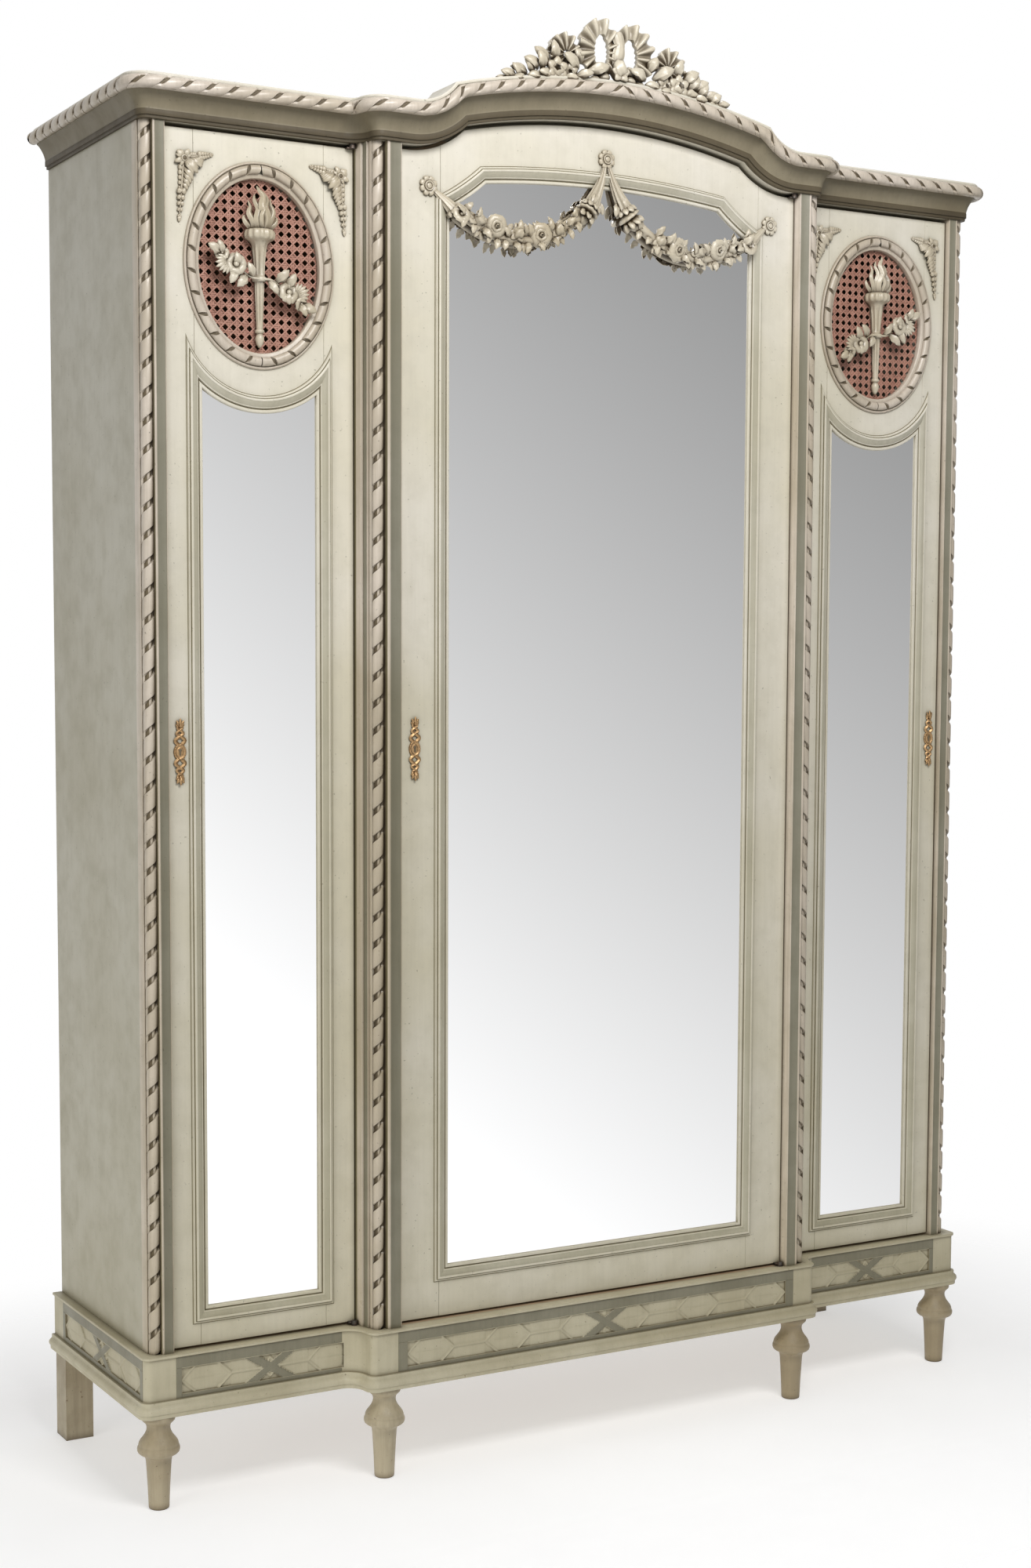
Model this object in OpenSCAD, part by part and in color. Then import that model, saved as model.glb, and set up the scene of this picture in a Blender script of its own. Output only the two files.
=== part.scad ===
// Three-door breakfront armoire with mirrored doors, oval cane panels and an arched cornice.
// X is to the right, Y is to the back, Z is up. The origin is under the middle of the case.

/* [Case] */
// Width over the two side panels
body_w = 1662; // [1640:2:1700]
// Front of the cornice to the back of the case
depth = 524; // [500:4:600]
// Top face of the plinth above the floor
plinth_top = 256; // [250:1:262]
// Underside of the level part of the cornice
soffit_z = 2212; // [2206:1:2224]
// How far the centre bay stands in front of the side bays
break_d = 50; // [46:1:56]
// Thickness of the side panels, partitions and shelves
board_t = 18; // [15:1:20]
// Thickness of the back panel
back_t = 10; // [6:1:12]

/* [Feet] */
// Height of the feet under the base moulding
foot_h = 156; // [150:1:160]
// Largest diameter of a turned foot
foot_ring_d = 68; // [60:1:72]
// Diameter at the top of the tapered shank
foot_shank_d = 50; // [44:1:54]
// Diameter where a turned foot meets the floor
foot_tip_d = 36; // [30:1:42]
// Side of the square rear legs
rear_leg_w = 50; // [40:1:56]

/* [Doors] */
// Thickness of the three doors
door_t = 22; // [20:1:24]
// Width of the centre door
centre_door_w = 800; // [780:2:810]
// Gap beside each door
side_gap = 2; // [1.5:0.5:3]
// Gap under each door
bottom_gap = 4; // [4:0.5:5]
// Gap over each door
top_gap = 6; // [6:0.5:8]
// How far the centre door sits behind its posts
centre_inset = 18; // [16:1:20]
// Width of the raised moulding round a mirror
mould_w = 24; // [20:1:26]
// Height of that moulding over the door
mould_h = 6; // [4:1:7]

/* [Mirrors] */
// Width of the glass in a side door
side_glass_w = 199; // [180:1:204]
// Foot of the glass in a side door
side_glass_z = 324; // [318:1:340]
// Radius of the scoop at the head of a side mirror
scoop_r = 164; // [160:1:168]
// Height of the centre of that scoop
scoop_z = 1935.5; // [1930:0.5:1940]
// Width of the glass in the centre door
centre_glass_w = 608; // [560:2:612]
// Foot of the glass in the centre door
centre_glass_z = 348; // [340:1:360]
// Thickness of the mirror glass
glass_t = 4; // [3:0.5:5]

/* [Oval panels] */
// Half width of the cane opening
oval_a = 105; // [100:1:108]
// Half height of the cane opening
oval_b = 137; // [132:1:140]
// Height of the centre of the cane opening
oval_z = 2003.5; // [2000:0.5:2006]
// Width of the ring round the opening
ring_w = 26.5; // [22:0.5:28]
// Spacing of the cane strands
cane_pitch = 14; // [12:0.5:20]

/* [Cornice] */
// Rise of the arch above the level soffit
arch_rise = 75; // [66:1:80]
// Radius of the hollow curve at each end of the arch
cove_r = 152.4; // [146:0.2:158]
// Height of the crest over the top of the arch
crest_h = 103; // [95:1:108]

/* [Inside] */
// Shelves in each side compartment
shelf_count = 3; // [2:1:4]
// Height of the hat shelf
hat_shelf_z = 1880; // [1800:10:1960]
// Diameter of the hanging rail
rail_d = 28; // [22:1:32]

/* [Hidden] */
$fn = 96;

// colours
cream = [0.84, 0.81, 0.72];
shade = [0.66, 0.63, 0.55];
slate = [0.55, 0.57, 0.56];
silver = [0.75, 0.77, 0.79];
bronze = [0.55, 0.42, 0.24];
iron = [0.25, 0.23, 0.22];
cane = [0.76, 0.52, 0.40];
timber = [0.62, 0.52, 0.38];
through = 1;

// planes
post_proud = 10;
cornice_out = 38;
half_w = body_w / 2;
back_y = depth / 2;
face_y = -back_y + cornice_out + break_d + post_proud;
post_y = face_y - post_proud;
front_y = post_y - break_d;
centre_face_y = front_y + centre_inset;
top_t = 20;
wing_r = 12;
bay_r = 12;

// doors
centre_half = centre_door_w / 2;
mid_post_w = 57;
mid_in = centre_half + side_gap;
mid_out = mid_in + mid_post_w;
side_in = mid_out + side_gap;
corner_post_w = 39.5;
corner_in = half_w - corner_post_w;
side_out = corner_in - side_gap - 0.5;
door_z0 = plinth_top + bottom_gap;
door_z1 = soffit_z - top_gap;
glass_y = 4;
glass_rebate = 8;
glass_fit = 0.5;
back_board_t = 6;
mould_bead = 10;
mould_sink = 1.5;

// side door openings
oval_x = 627.5;
oval_steps = 72;
ring_t = 9;
cane_y = 8;
cane_t = 2;
cane_strand = 5;

// arch over the centre door
arch_x = 385;
shoulder_x = 277;
shoulder_rise = 42.5;
door_rise = arch_rise - 0.5;
sag = door_rise - shoulder_rise + 0.5;
arch_r = (pow(shoulder_x, 2) + pow(sag, 2)) / (2 * sag) + top_gap;
arch_cz = soffit_z + arch_rise - arch_r;
cove_cz = soffit_z + cove_r;

// head of the centre mirror
head_z = 2180;
head_r = 1995;
head_cove_x = 507.6;
head_cove_z = 2485.3;
head_cove_r = 420;

// plinth and base moulding
plinth_out = 14;
plinth_proud = 8;
plinth_wall = 22;
plinth_z0 = 182;
cap_z0 = 252;
cap_out = 3;
base_steps = [[0, 9, 8], [9, 15, 10], [15, 18, 7.5], [18, plinth_z0 - foot_h, 5]];
plinth_half = half_w + plinth_out;
plinth_y = post_y - plinth_proud;
plinth_centre_y = front_y - plinth_proud;
plinth_break_x = 462;
floor_t = 20;
panel_z0 = 190;
panel_z1 = 232;
panel_sink = 5;
panel_plate = 2;
leaf_raise = 2;
outer_block_in = 782;
wing_panel_in = 468;
centre_panel_half = 395;
side_panel_y0 = face_y + 6;
side_panel_y1 = back_y - 58;

// feet
outer_foot_x = 815.6;
mid_foot_x = 427.8;
outer_foot_y = face_y + 2;
mid_foot_y = face_y - 45;
ring_z = 106;
ring_r = 15;
neck_r = 20;

// cornice steps: height from, height to, projection
cornice_steps = [
    [0, 5, 3], [5, 20, 5.5], [20, 28, 7], [28, 34, 10], [34, 60, 13.5], [60, 65, 22.5]
];
rope_steps = [[39, 44, 33], [44, 55, cornice_out], [55, 60, 33]];
rope_in = 17;
cornice_h = 65;
cornice_break_x = 448;
top_z = soffit_z + top_t;
tympan_y0 = centre_face_y + door_t + 2;
tympan_y1 = tympan_y0 + 16;

// pivots
pivot_in = 5;
pivot_ahead = 8;
pin_r = 3;
eye_r = 5;
pin_fit = 0.05;
plate_t = 1.5;
leaf_t = 2;
leaf_w = 14;
leaf_reach = 24;
eye_h = 6;
eye_gap = 0.5;

// locks
lock_z = 1230;
lock_w = 50;
lock_h = 80;
lock_y = 8;
bolt_l = 40;
bolt_h = 16;
bolt_t = 6;
bolt_y = 12;
bolt_play = 0.3;
mortise_d = 12;
mortise_play = 1;
keyhole_w = 3;
keyhole_h = 9;
esc_t = 2;
esc_in = 18.6;
centre_esc_in = 30.6;

// inside
shelf_front = face_y + 30;
shelf_back = back_y - back_t;
bay_h = (soffit_z - plinth_top) / (shelf_count + 1);
batten_h = 20;
batten_w = 15;
rail_z = hat_shelf_z - 90;
rail_y = 40;
flange_r = 26;
flange_t = 8;

// helpers
module box(a, b) {
    translate(a) cube([b[0] - a[0], b[1] - a[1], b[2] - a[2]]);
}

module slab(y0, y1) {
    translate([0, y1, 0])
        rotate([90, 0, 0])
            linear_extrude(height = y1 - y0) children();
}

module left() {
    mirror([1, 0, 0]) children();
}

module both() {
    children();
    mirror([1, 0, 0]) children();
}

module rounded_front(half, y0, y1, r) {
    translate([-half, y0 + r]) square([2 * half, y1 - y0 - r]);
    translate([-half + r, y0]) square([2 * (half - r), r + through]);
    both() translate([half - r, y0 + r]) circle(r = r);
}

// breakfront outline grown by p: a rounded centre bay joined to the wings by hollow curves
module break_plan(wing, bay, wing_y, p) {
    bay_y = wing_y - break_d;
    hollow_r = break_d - bay_r;
    rounded_front(wing + p, wing_y - p, back_y, wing_r + p);
    rounded_front(bay + p, bay_y - p, wing_y + 30, bay_r + p);
    both() difference() {
        translate([bay + p - through, wing_y - hollow_r]) square([hollow_r - p + through, hollow_r]);
        translate([bay + hollow_r, wing_y - hollow_r]) circle(r = hollow_r - p);
    }
}

// region under the arch curve, grown outward by o
module arch_fill(o, half) {
    difference() {
        intersection() {
            translate([0, arch_cz]) circle(r = arch_r + o);
            translate([-arch_x, door_z0]) square([2 * arch_x, soffit_z + 300 - door_z0]);
        }
        both() translate([arch_x, cove_cz]) circle(r = cove_r - o);
    }
    translate([-half, door_z0]) square([2 * half, soffit_z + o - door_z0]);
}

// feet
module turned_foot(x, y) {
    translate([x, y, 0]) rotate_extrude() {
        polygon([
            [0, 0], [foot_tip_d / 2 - 1, 0], [foot_tip_d / 2, 2],
            [foot_shank_d / 2, ring_z - ring_r - 6],
            [foot_shank_d / 2 + 2, ring_z - ring_r + 2],
            [foot_shank_d / 2, ring_z + ring_r - 2],
            [neck_r, ring_z + ring_r + 4], [neck_r, foot_h - 12],
            [neck_r + 5, foot_h - 6], [neck_r + 5, foot_h], [0, foot_h]
        ]);
        intersection() {
            translate([foot_ring_d / 2 - ring_r, ring_z]) circle(r = ring_r);
            translate([0, ring_z - ring_r]) square([foot_ring_d, 2 * ring_r]);
        }
    }
}

module foot_outer_right() {
    color(cream) turned_foot(outer_foot_x, outer_foot_y);
}

module foot_outer_left() {
    left() foot_outer_right();
}

module foot_mid_right() {
    color(cream) turned_foot(mid_foot_x, mid_foot_y);
}

module foot_mid_left() {
    left() foot_mid_right();
}

module rear_leg_right() {
    color(timber) box([half_w + 12 - rear_leg_w, back_y - rear_leg_w, 0], [half_w + 12, back_y, foot_h]);
}

module rear_leg_left() {
    left() rear_leg_right();
}

// plinth
module plinth_plan(o) {
    break_plan(plinth_half, plinth_break_x, plinth_y, o);
}

module floor_plan() {
    translate([-plinth_half + plinth_wall, plinth_y + plinth_wall])
        square([2 * (plinth_half - plinth_wall), back_y - plinth_y - plinth_wall]);
    translate([-plinth_break_x + plinth_wall, plinth_centre_y + plinth_wall])
        square([2 * (plinth_break_x - plinth_wall), break_d + through]);
}

module plinth_shell() {
    difference() {
        union() {
            translate([0, 0, plinth_z0]) linear_extrude(height = plinth_top - plinth_z0) plinth_plan(0);
            translate([0, 0, cap_z0]) linear_extrude(height = plinth_top - cap_z0) plinth_plan(cap_out);
        }
        translate([0, 0, plinth_z0 - through])
            linear_extrude(height = plinth_top - plinth_z0 + 2 * through) floor_plan();
        box([-plinth_half - 20, back_y, 0], [plinth_half + 20, back_y + 20, soffit_z]);
        slab(plinth_y - 1, plinth_y + panel_sink) both() wing_panel();
        slab(plinth_centre_y - 1, plinth_centre_y + panel_sink) centre_panel();
    }
}

module wing_panel() {
    translate([wing_panel_in, panel_z0]) square([outer_block_in - wing_panel_in, panel_z1 - panel_z0]);
}

module centre_panel() {
    translate([-centre_panel_half, panel_z0]) square([2 * centre_panel_half, panel_z1 - panel_z0]);
}

module plinth_front() {
    color(cream) intersection() {
        plinth_shell();
        box([-half_w - 60, -back_y - 20, 0], [half_w + 60, plinth_y + plinth_wall, soffit_z]);
    }
}

module plinth_side_right() {
    y0 = plinth_y + plinth_wall;
    x0 = plinth_half - plinth_wall;
    color(cream) difference() {
        union() {
            box([x0, y0, plinth_z0], [plinth_half, back_y, plinth_top]);
            box([x0, y0, cap_z0], [plinth_half + cap_out, back_y, plinth_top]);
        }
        box([plinth_half - panel_sink, side_panel_y0, panel_z0], [plinth_half + 1, side_panel_y1, panel_z1]);
    }
}

module plinth_side_left() {
    left() plinth_side_right();
}

module base_moulding() {
    color(shade) difference() {
        union() {
            for (s = base_steps)
                translate([0, 0, foot_h + s[0]]) linear_extrude(height = s[1] - s[0]) plinth_plan(s[2]);
        }
        box([-half_w - 60, back_y, 0], [half_w + 60, back_y + 40, plinth_top]);
        box([-half_w + 60, face_y + 40, 0], [half_w - 60, back_y - 60, plinth_top]);
    }
}

// carved laurel run from one end of a panel to the other
module laurel(length) {
    leaf_l = length / 6;
    mid_z = (panel_z0 + panel_z1) / 2;
    half_z = (panel_z1 - panel_z0) / 2 - 2;
    for (k = [0:4]) {
        translate([length / 2 + (k - 2) * leaf_l * 1.15, mid_z])
            polygon([
                [-leaf_l / 2, 0], [-leaf_l / 3, half_z], [leaf_l / 3, half_z],
                [leaf_l / 2, 0], [leaf_l / 3, -half_z], [-leaf_l / 3, -half_z]
            ]);
    }
}

module frieze(length) {
    slab(0, panel_plate) translate([0, panel_z0]) square([length, panel_z1 - panel_z0]);
    slab(-leaf_raise, 0) laurel(length);
}

module friezes() {
    color(cream) {
        both() translate([wing_panel_in, plinth_y + panel_sink - panel_plate, 0])
            frieze(outer_block_in - wing_panel_in);
        translate([-centre_panel_half, plinth_centre_y + panel_sink - panel_plate, 0])
            frieze(2 * centre_panel_half);
        both() translate([plinth_half - panel_sink + panel_plate, side_panel_y0, 0])
            rotate([0, 0, 90]) frieze(side_panel_y1 - side_panel_y0);
    }
}

// case
module floor_board() {
    color(timber) translate([0, 0, plinth_top - floor_t]) linear_extrude(height = floor_t) floor_plan();
}

module side_panel_right() {
    color(shade) box([half_w - board_t, face_y + 30, plinth_top], [half_w, back_y, soffit_z]);
}

module side_panel_left() {
    left() side_panel_right();
}

module partition_right() {
    color(timber) box([mid_out - board_t, face_y + door_t, plinth_top], [mid_out, back_y - back_t, soffit_z]);
}

module partition_left() {
    left() partition_right();
}

module back_panel() {
    color(timber)
        box([-half_w + board_t, back_y - back_t, plinth_top], [half_w - board_t, back_y, soffit_z]);
}

module top_plan() {
    translate([-half_w, face_y + door_t + 2]) square([body_w, back_y - face_y - door_t - 2]);
    translate([-mid_out + board_t, tympan_y0]) square([2 * (mid_out - board_t), break_d]);
}

module top_board() {
    color(timber) translate([0, 0, soffit_z]) linear_extrude(height = top_t) top_plan();
}

// posts with a round reeded column at the outer edge
module corner_post_right() {
    color(cream) difference() {
        translate([0, 0, plinth_top]) linear_extrude(height = soffit_z - plinth_top) {
            translate([corner_in, post_y]) square([22, 40]);
            translate([corner_in, face_y + 10]) square([corner_post_w, 20]);
            translate([half_w - 12.4, face_y + 6]) circle(r = 10.5);
        }
        lock_mortise(corner_in, face_y);
    }
}

module corner_post_left() {
    left() corner_post_right();
}

module mid_post_right() {
    color(cream) translate([0, 0, plinth_top]) linear_extrude(height = soffit_z - plinth_top) {
        translate([mid_in, front_y]) square([26, 40]);
        translate([mid_in, front_y + 22]) square([50, 26]);
        translate([mid_in, face_y - 20]) square([mid_post_w, 20 + door_t]);
        translate([mid_in + 36.8, front_y + 17.7]) circle(r = 10.5);
    }
}

module mid_post_left() {
    left() difference() {
        mid_post_right();
        lock_mortise(mid_in, centre_face_y);
    }
}

// hollow for the bolt, cut into the post from x outward
module lock_mortise(x, door_face) {
    box([x - through, door_face + bolt_y - mortise_play, lock_z - bolt_h / 2 - mortise_play],
        [x + mortise_d, door_face + bolt_y + bolt_t + mortise_play, lock_z + bolt_h / 2 + mortise_play]);
}

// cornice
module cornice_plan(p) {
    break_plan(half_w, cornice_break_x, post_y, p);
}

module arch_band(h0, h1) {
    intersection() {
        difference() {
            arch_fill(h1, arch_x);
            arch_fill(h0, arch_x);
        }
        translate([-arch_x, soffit_z - 1]) square([2 * arch_x, 300]);
    }
}

module cornice() {
    color(cream) {
        difference() {
            for (s = cornice_steps)
                translate([0, 0, soffit_z + s[0]]) linear_extrude(height = s[1] - s[0]) cornice_plan(s[2]);
            box([-arch_x, -back_y - 10, soffit_z - 1], [arch_x, tympan_y1, soffit_z + cornice_h + 1]);
            translate([0, 0, soffit_z - 1]) linear_extrude(height = top_t + 1) top_plan();
            box([-half_w + board_t, face_y + 40, soffit_z], [half_w - board_t, back_y + 1, soffit_z + 100]);
        }
        for (s = cornice_steps)
            slab(front_y - s[2], tympan_y0) arch_band(s[0], s[1]);
        slab(tympan_y0, tympan_y1) difference() {
            arch_fill(cornice_h, arch_x);
            translate([-half_w, 0]) square([body_w, top_z]);
        }
    }
}

// rope moulding along the cornice
module cornice_rope() {
    color(cream) {
        difference() {
            for (s = rope_steps)
                translate([0, 0, soffit_z + s[0]]) linear_extrude(height = s[1] - s[0]) difference() {
                    cornice_plan(s[2]);
                    cornice_plan(rope_in);
                }
            box([-arch_x, -back_y - 10, soffit_z], [arch_x, back_y, soffit_z + cornice_h]);
        }
        for (s = rope_steps)
            slab(front_y - s[2], front_y - rope_in) arch_band(s[0], s[1]);
    }
}

// carved ribbon bow with roses, standing on the arch
module crest() {
    crest_y0 = face_y - 78;
    crest_y1 = face_y - 54;
    petal_t = 6;
    petal_scale = 0.6;
    base_z = soffit_z + arch_rise + cornice_h;
    top = base_z + crest_h;
    loop_r = 43;
    loop_hole = 16;
    small_r = 31;
    small_hole = 7;
    roses = [[0, 22, 17], [62, 16, 13], [122, 10, 14], [150, 8, 13], [178, 4, 12], [205, 0, 10], [226, -5, 8]];
    color(cream) {
        slab(crest_y0 + petal_t, crest_y1) intersection() {
            difference() {
                arch_fill(cornice_h + 12, arch_x);
                arch_fill(cornice_h, arch_x);
            }
            translate([-238, soffit_z]) square([476, 300]);
        }
        both() slab(crest_y0, crest_y1) difference() {
            translate([36, top - loop_r]) circle(r = loop_r);
            translate([31, top - loop_r - 8]) circle(r = loop_hole);
        }
        both() slab(crest_y0 + 2, crest_y1 - 2) difference() {
            translate([104, top - 68]) circle(r = small_r);
            translate([98, top - 70]) circle(r = small_hole);
        }
        both() for (r = roses) translate([r[0], 0, base_z + r[1]]) {
            slab(crest_y0 + petal_t, crest_y1) circle(r = r[2]);
            slab(crest_y0 - 1, crest_y0 + petal_t) circle(r = r[2] * petal_scale);
        }
    }
}

// inside fittings
module side_shelves() {
    color(timber) both() for (k = [1:shelf_count])
        box([mid_out, shelf_front, plinth_top + k * bay_h],
            [half_w - board_t, shelf_back, plinth_top + k * bay_h + board_t]);
}

module hat_shelf() {
    color(timber) box([-mid_out + board_t, face_y + door_t, hat_shelf_z],
        [mid_out - board_t, shelf_back, hat_shelf_z + board_t]);
}

module shelf_battens() {
    color(timber) both() {
        for (k = [1:shelf_count]) {
            z = plinth_top + k * bay_h;
            box([mid_out, shelf_front + 20, z - batten_h], [mid_out + batten_w, shelf_back, z]);
            box([half_w - board_t - batten_w, shelf_front + 20, z - batten_h],
                [half_w - board_t, shelf_back, z]);
        }
        box([mid_out - board_t - batten_w, face_y + 30, hat_shelf_z - batten_h],
            [mid_out - board_t, shelf_back, hat_shelf_z]);
    }
}

module hanging_rail() {
    rail_half = mid_out - board_t;
    color(bronze) {
        translate([-rail_half, rail_y, rail_z]) rotate([0, 90, 0]) cylinder(d = rail_d, h = 2 * rail_half);
        both() translate([rail_half - flange_t, rail_y, rail_z]) rotate([0, 90, 0])
            cylinder(r = flange_r, h = flange_t);
    }
}

// pivots: the axis is the local origin and the door lies toward +X and +Y
module pivot_plate() {
    for (top = [0, 1]) translate([0, 0, top * (soffit_z - plinth_top - plate_t)]) {
        translate([0, 0, plinth_top]) cylinder(r = eye_r + 1, h = plate_t);
        box([-pin_r, 0, plinth_top], [pin_r, leaf_reach, plinth_top + plate_t]);
    }
    translate([0, 0, plinth_top]) cylinder(r = pin_r, h = plate_t + eye_gap + eye_h);
    translate([0, 0, soffit_z - plate_t - eye_gap - eye_h]) cylinder(r = pin_r, h = plate_t + eye_gap + eye_h);
}

module pivot_leaf() {
    difference() {
        union() {
            leaf_notch();
            translate([0, 0, plinth_top + plate_t + eye_gap]) cylinder(r = eye_r, h = eye_h);
            translate([0, 0, soffit_z - plate_t - eye_gap - eye_h]) cylinder(r = eye_r, h = eye_h);
        }
        translate([0, 0, plinth_top]) cylinder(r = pin_r + pin_fit, h = 20);
        translate([0, 0, soffit_z - 20]) cylinder(r = pin_r + pin_fit, h = 20);
    }
}

module leaf_notch() {
    box([-pivot_in, 0, door_z0], [leaf_w - pivot_in, leaf_reach, door_z0 + leaf_t]);
    box([-pivot_in, 0, door_z1 - leaf_t], [leaf_w - pivot_in, leaf_reach, door_z1]);
}

module at_side_pivot() {
    translate([side_in + pivot_in, face_y - pivot_ahead, 0]) children();
}

module at_centre_pivot() {
    translate([centre_half - pivot_in, centre_face_y - pivot_ahead, 0]) mirror([1, 0, 0]) children();
}

module pivot_plates() {
    color(iron) {
        both() at_side_pivot() pivot_plate();
        at_centre_pivot() pivot_plate();
    }
}

// locks: door edge at x, door body toward smaller x
module lock_pocket(x, door_face) {
    box([x - lock_w, door_face + lock_y, lock_z - lock_h / 2], [x, door_face + door_t, lock_z + lock_h / 2]);
}

module lock_case(x, door_face) {
    color(iron) difference() {
        lock_pocket(x, door_face);
        box([x - lock_w + 3, door_face + bolt_y - bolt_play, lock_z - bolt_h / 2 - bolt_play],
            [x + through, door_face + bolt_y + bolt_t + bolt_play, lock_z + bolt_h / 2 + bolt_play]);
    }
}

module lock_bolt(x, door_face) {
    color(bronze) box([x - bolt_l - 0.5, door_face + bolt_y, lock_z - bolt_h / 2],
        [x - 0.5, door_face + bolt_y + bolt_t, lock_z + bolt_h / 2]);
}

module keyhole(x) {
    translate([x - keyhole_w / 2, lock_z - keyhole_h / 2]) square([keyhole_w, keyhole_h]);
}

module escutcheon(x, door_face) {
    beads = [[16, 7], [27, 8.5], [38, 6.5], [46, 6]];
    color(bronze) slab(door_face - esc_t, door_face) difference() {
        union() {
            translate([x, lock_z]) circle(r = 11);
            for (b = beads, s = [-1, 1])
                translate([x, lock_z + s * b[0]]) circle(r = b[1]);
        }
        keyhole(x);
    }
}

// side doors, drawn for the right-hand side
module scoop_glass(o) {
    difference() {
        translate([oval_x - side_glass_w / 2 - o, side_glass_z - o])
            square([side_glass_w + 2 * o, scoop_z - side_glass_z + o]);
        translate([oval_x, scoop_z]) circle(r = scoop_r - o);
    }
}

// ellipse grown by o
module oval(o) {
    translate([oval_x, oval_z]) polygon([
        for (k = [0:oval_steps - 1])
            [(oval_a + o) * cos(k * 360 / oval_steps), (oval_b + o) * sin(k * 360 / oval_steps)]
    ]);
}

module side_frame() {
    color(cream) {
        difference() {
            box([side_in, face_y, door_z0], [side_out, face_y + door_t, door_z1]);
            slab(face_y - 1, face_y + door_t + 1) scoop_glass(0);
            slab(face_y - 1, face_y + mould_sink) scoop_glass(mould_w - mould_bead);
            slab(face_y + glass_y, face_y + door_t + 1) scoop_glass(glass_rebate);
            slab(face_y - 1, face_y + door_t + 1) oval(0);
            slab(face_y + cane_y, face_y + door_t + 1) oval(glass_rebate);
            lock_pocket(side_out, face_y);
            slab(face_y - 1, face_y + lock_y) keyhole(side_out - esc_in);
            at_side_pivot() leaf_notch();
        }
        slab(face_y - mould_h, face_y) difference() {
            scoop_glass(mould_w);
            scoop_glass(mould_w - mould_bead);
        }
    }
}

module side_mirror() {
    color(silver) slab(face_y + glass_y, face_y + glass_y + glass_t) scoop_glass(glass_rebate - glass_fit);
}

module side_mirror_back() {
    y0 = face_y + glass_y + glass_t;
    color(timber) slab(y0, y0 + back_board_t) scoop_glass(glass_rebate - glass_fit);
}

module side_ring() {
    color(cream) slab(face_y - ring_t, face_y) difference() {
        oval(ring_w);
        oval(0);
    }
}

module side_cane() {
    across = floor(oval_a / cane_pitch) + 1;
    up = floor(oval_b / cane_pitch) + 1;
    color(cane) {
        slab(face_y + cane_y, face_y + cane_y + cane_t) intersection() {
            oval(glass_rebate - 2);
            union() {
                for (k = [-across:across])
                    translate([oval_x + k * cane_pitch - cane_strand / 2, oval_z - 200])
                        square([cane_strand, 400]);
                for (k = [-up:up])
                    translate([oval_x - 200, oval_z + k * cane_pitch - cane_strand / 2])
                        square([400, cane_strand]);
            }
        }
        slab(face_y + cane_y, face_y + door_t - 4) difference() {
            oval(glass_rebate - glass_fit);
            oval(2);
        }
    }
}

// sprays list x, z and radius from the torch axis, the shaft lists half width and height
module side_torch() {
    back = face_y + cane_y;
    relief_t = 14;
    petal_t = 5;
    petal_scale = 0.6;
    torch_z = 1875;
    stem_z = 1990;
    shaft = [
        [4, 0], [9, 14], [5, 20], [10, 28], [6, 36], [10, 100], [15, 103], [15, 112],
        [11, 116], [14, 156], [28, 170], [31, 176], [31, 184]
    ];
    sprays = [
        [22, 2001, 8], [36, 2004, 10], [52, 2008, 11], [68, 2014, 11], [83, 2020, 8],
        [-22, 1984, 8], [-35, 1975, 10], [-48, 1964, 12], [-62, 1952, 12], [-76, 1939, 10]
    ];
    flame = [
        [-14, 2056], [-30, 2076], [-20, 2098], [-12, 2084], [2, 2130],
        [12, 2104], [24, 2112], [26, 2078], [14, 2056]
    ];
    color(cream) translate([oval_x, 0, 0]) {
        slab(face_y - relief_t + petal_t, back) {
            polygon([for (p = shaft) [p[0], torch_z + p[1]], for (k = [len(shaft) - 1:-1:0])
                [-shaft[k][0], torch_z + shaft[k][1]]]);
            polygon(flame);
            translate([-40, stem_z]) square([80, 6]);
            for (b = sprays) translate([b[0], b[1]]) circle(r = b[2]);
        }
        slab(face_y - relief_t, face_y - relief_t + petal_t) {
            polygon([for (p = shaft) [p[0] * petal_scale, torch_z + p[1]], for (k = [len(shaft) - 1:-1:0])
                [-shaft[k][0] * petal_scale, torch_z + shaft[k][1]]]);
            for (b = sprays) translate([b[0], b[1]]) circle(r = b[2] * petal_scale);
        }
    }
}

module side_spandrels() {
    leaf_y = 4;
    color(cream) {
        slab(face_y - leaf_y, face_y) difference() {
            polygon([[769, 2173], [706, 2173], [769, 2058]]);
            translate([700, 2090]) circle(r = 48);
        }
        slab(face_y - leaf_y, face_y) difference() {
            polygon([[474, 2171], [542, 2171], [474, 2062]]);
            translate([546, 2092]) circle(r = 48);
        }
        slab(face_y - leaf_y - 3, face_y - leaf_y) {
            translate([757, 2158]) circle(r = 6);
            translate([487, 2156]) circle(r = 6);
        }
    }
}

// centre door
module arch_glass(o) {
    half = centre_glass_w / 2 + o;
    difference() {
        intersection() {
            translate([0, head_z - head_r]) circle(r = head_r + o);
            translate([-half, centre_glass_z - o]) square([2 * half, head_z - centre_glass_z + 100]);
        }
        both() translate([head_cove_x, head_cove_z]) circle(r = head_cove_r - o);
    }
}

module centre_frame() {
    back = centre_face_y + door_t;
    color(cream) {
        difference() {
            slab(centre_face_y, back) arch_fill(-top_gap, centre_half);
            slab(centre_face_y - 1, back + 1) arch_glass(0);
            slab(centre_face_y - 1, centre_face_y + mould_sink) arch_glass(mould_w - mould_bead);
            slab(centre_face_y + glass_y, back + 1) arch_glass(glass_rebate);
            left() lock_pocket(centre_half, centre_face_y);
            slab(centre_face_y - 1, centre_face_y + lock_y) keyhole(centre_esc_in - centre_half);
            at_centre_pivot() leaf_notch();
        }
        slab(centre_face_y - mould_h, centre_face_y) difference() {
            arch_glass(mould_w);
            arch_glass(mould_w - mould_bead);
        }
    }
}

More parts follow.
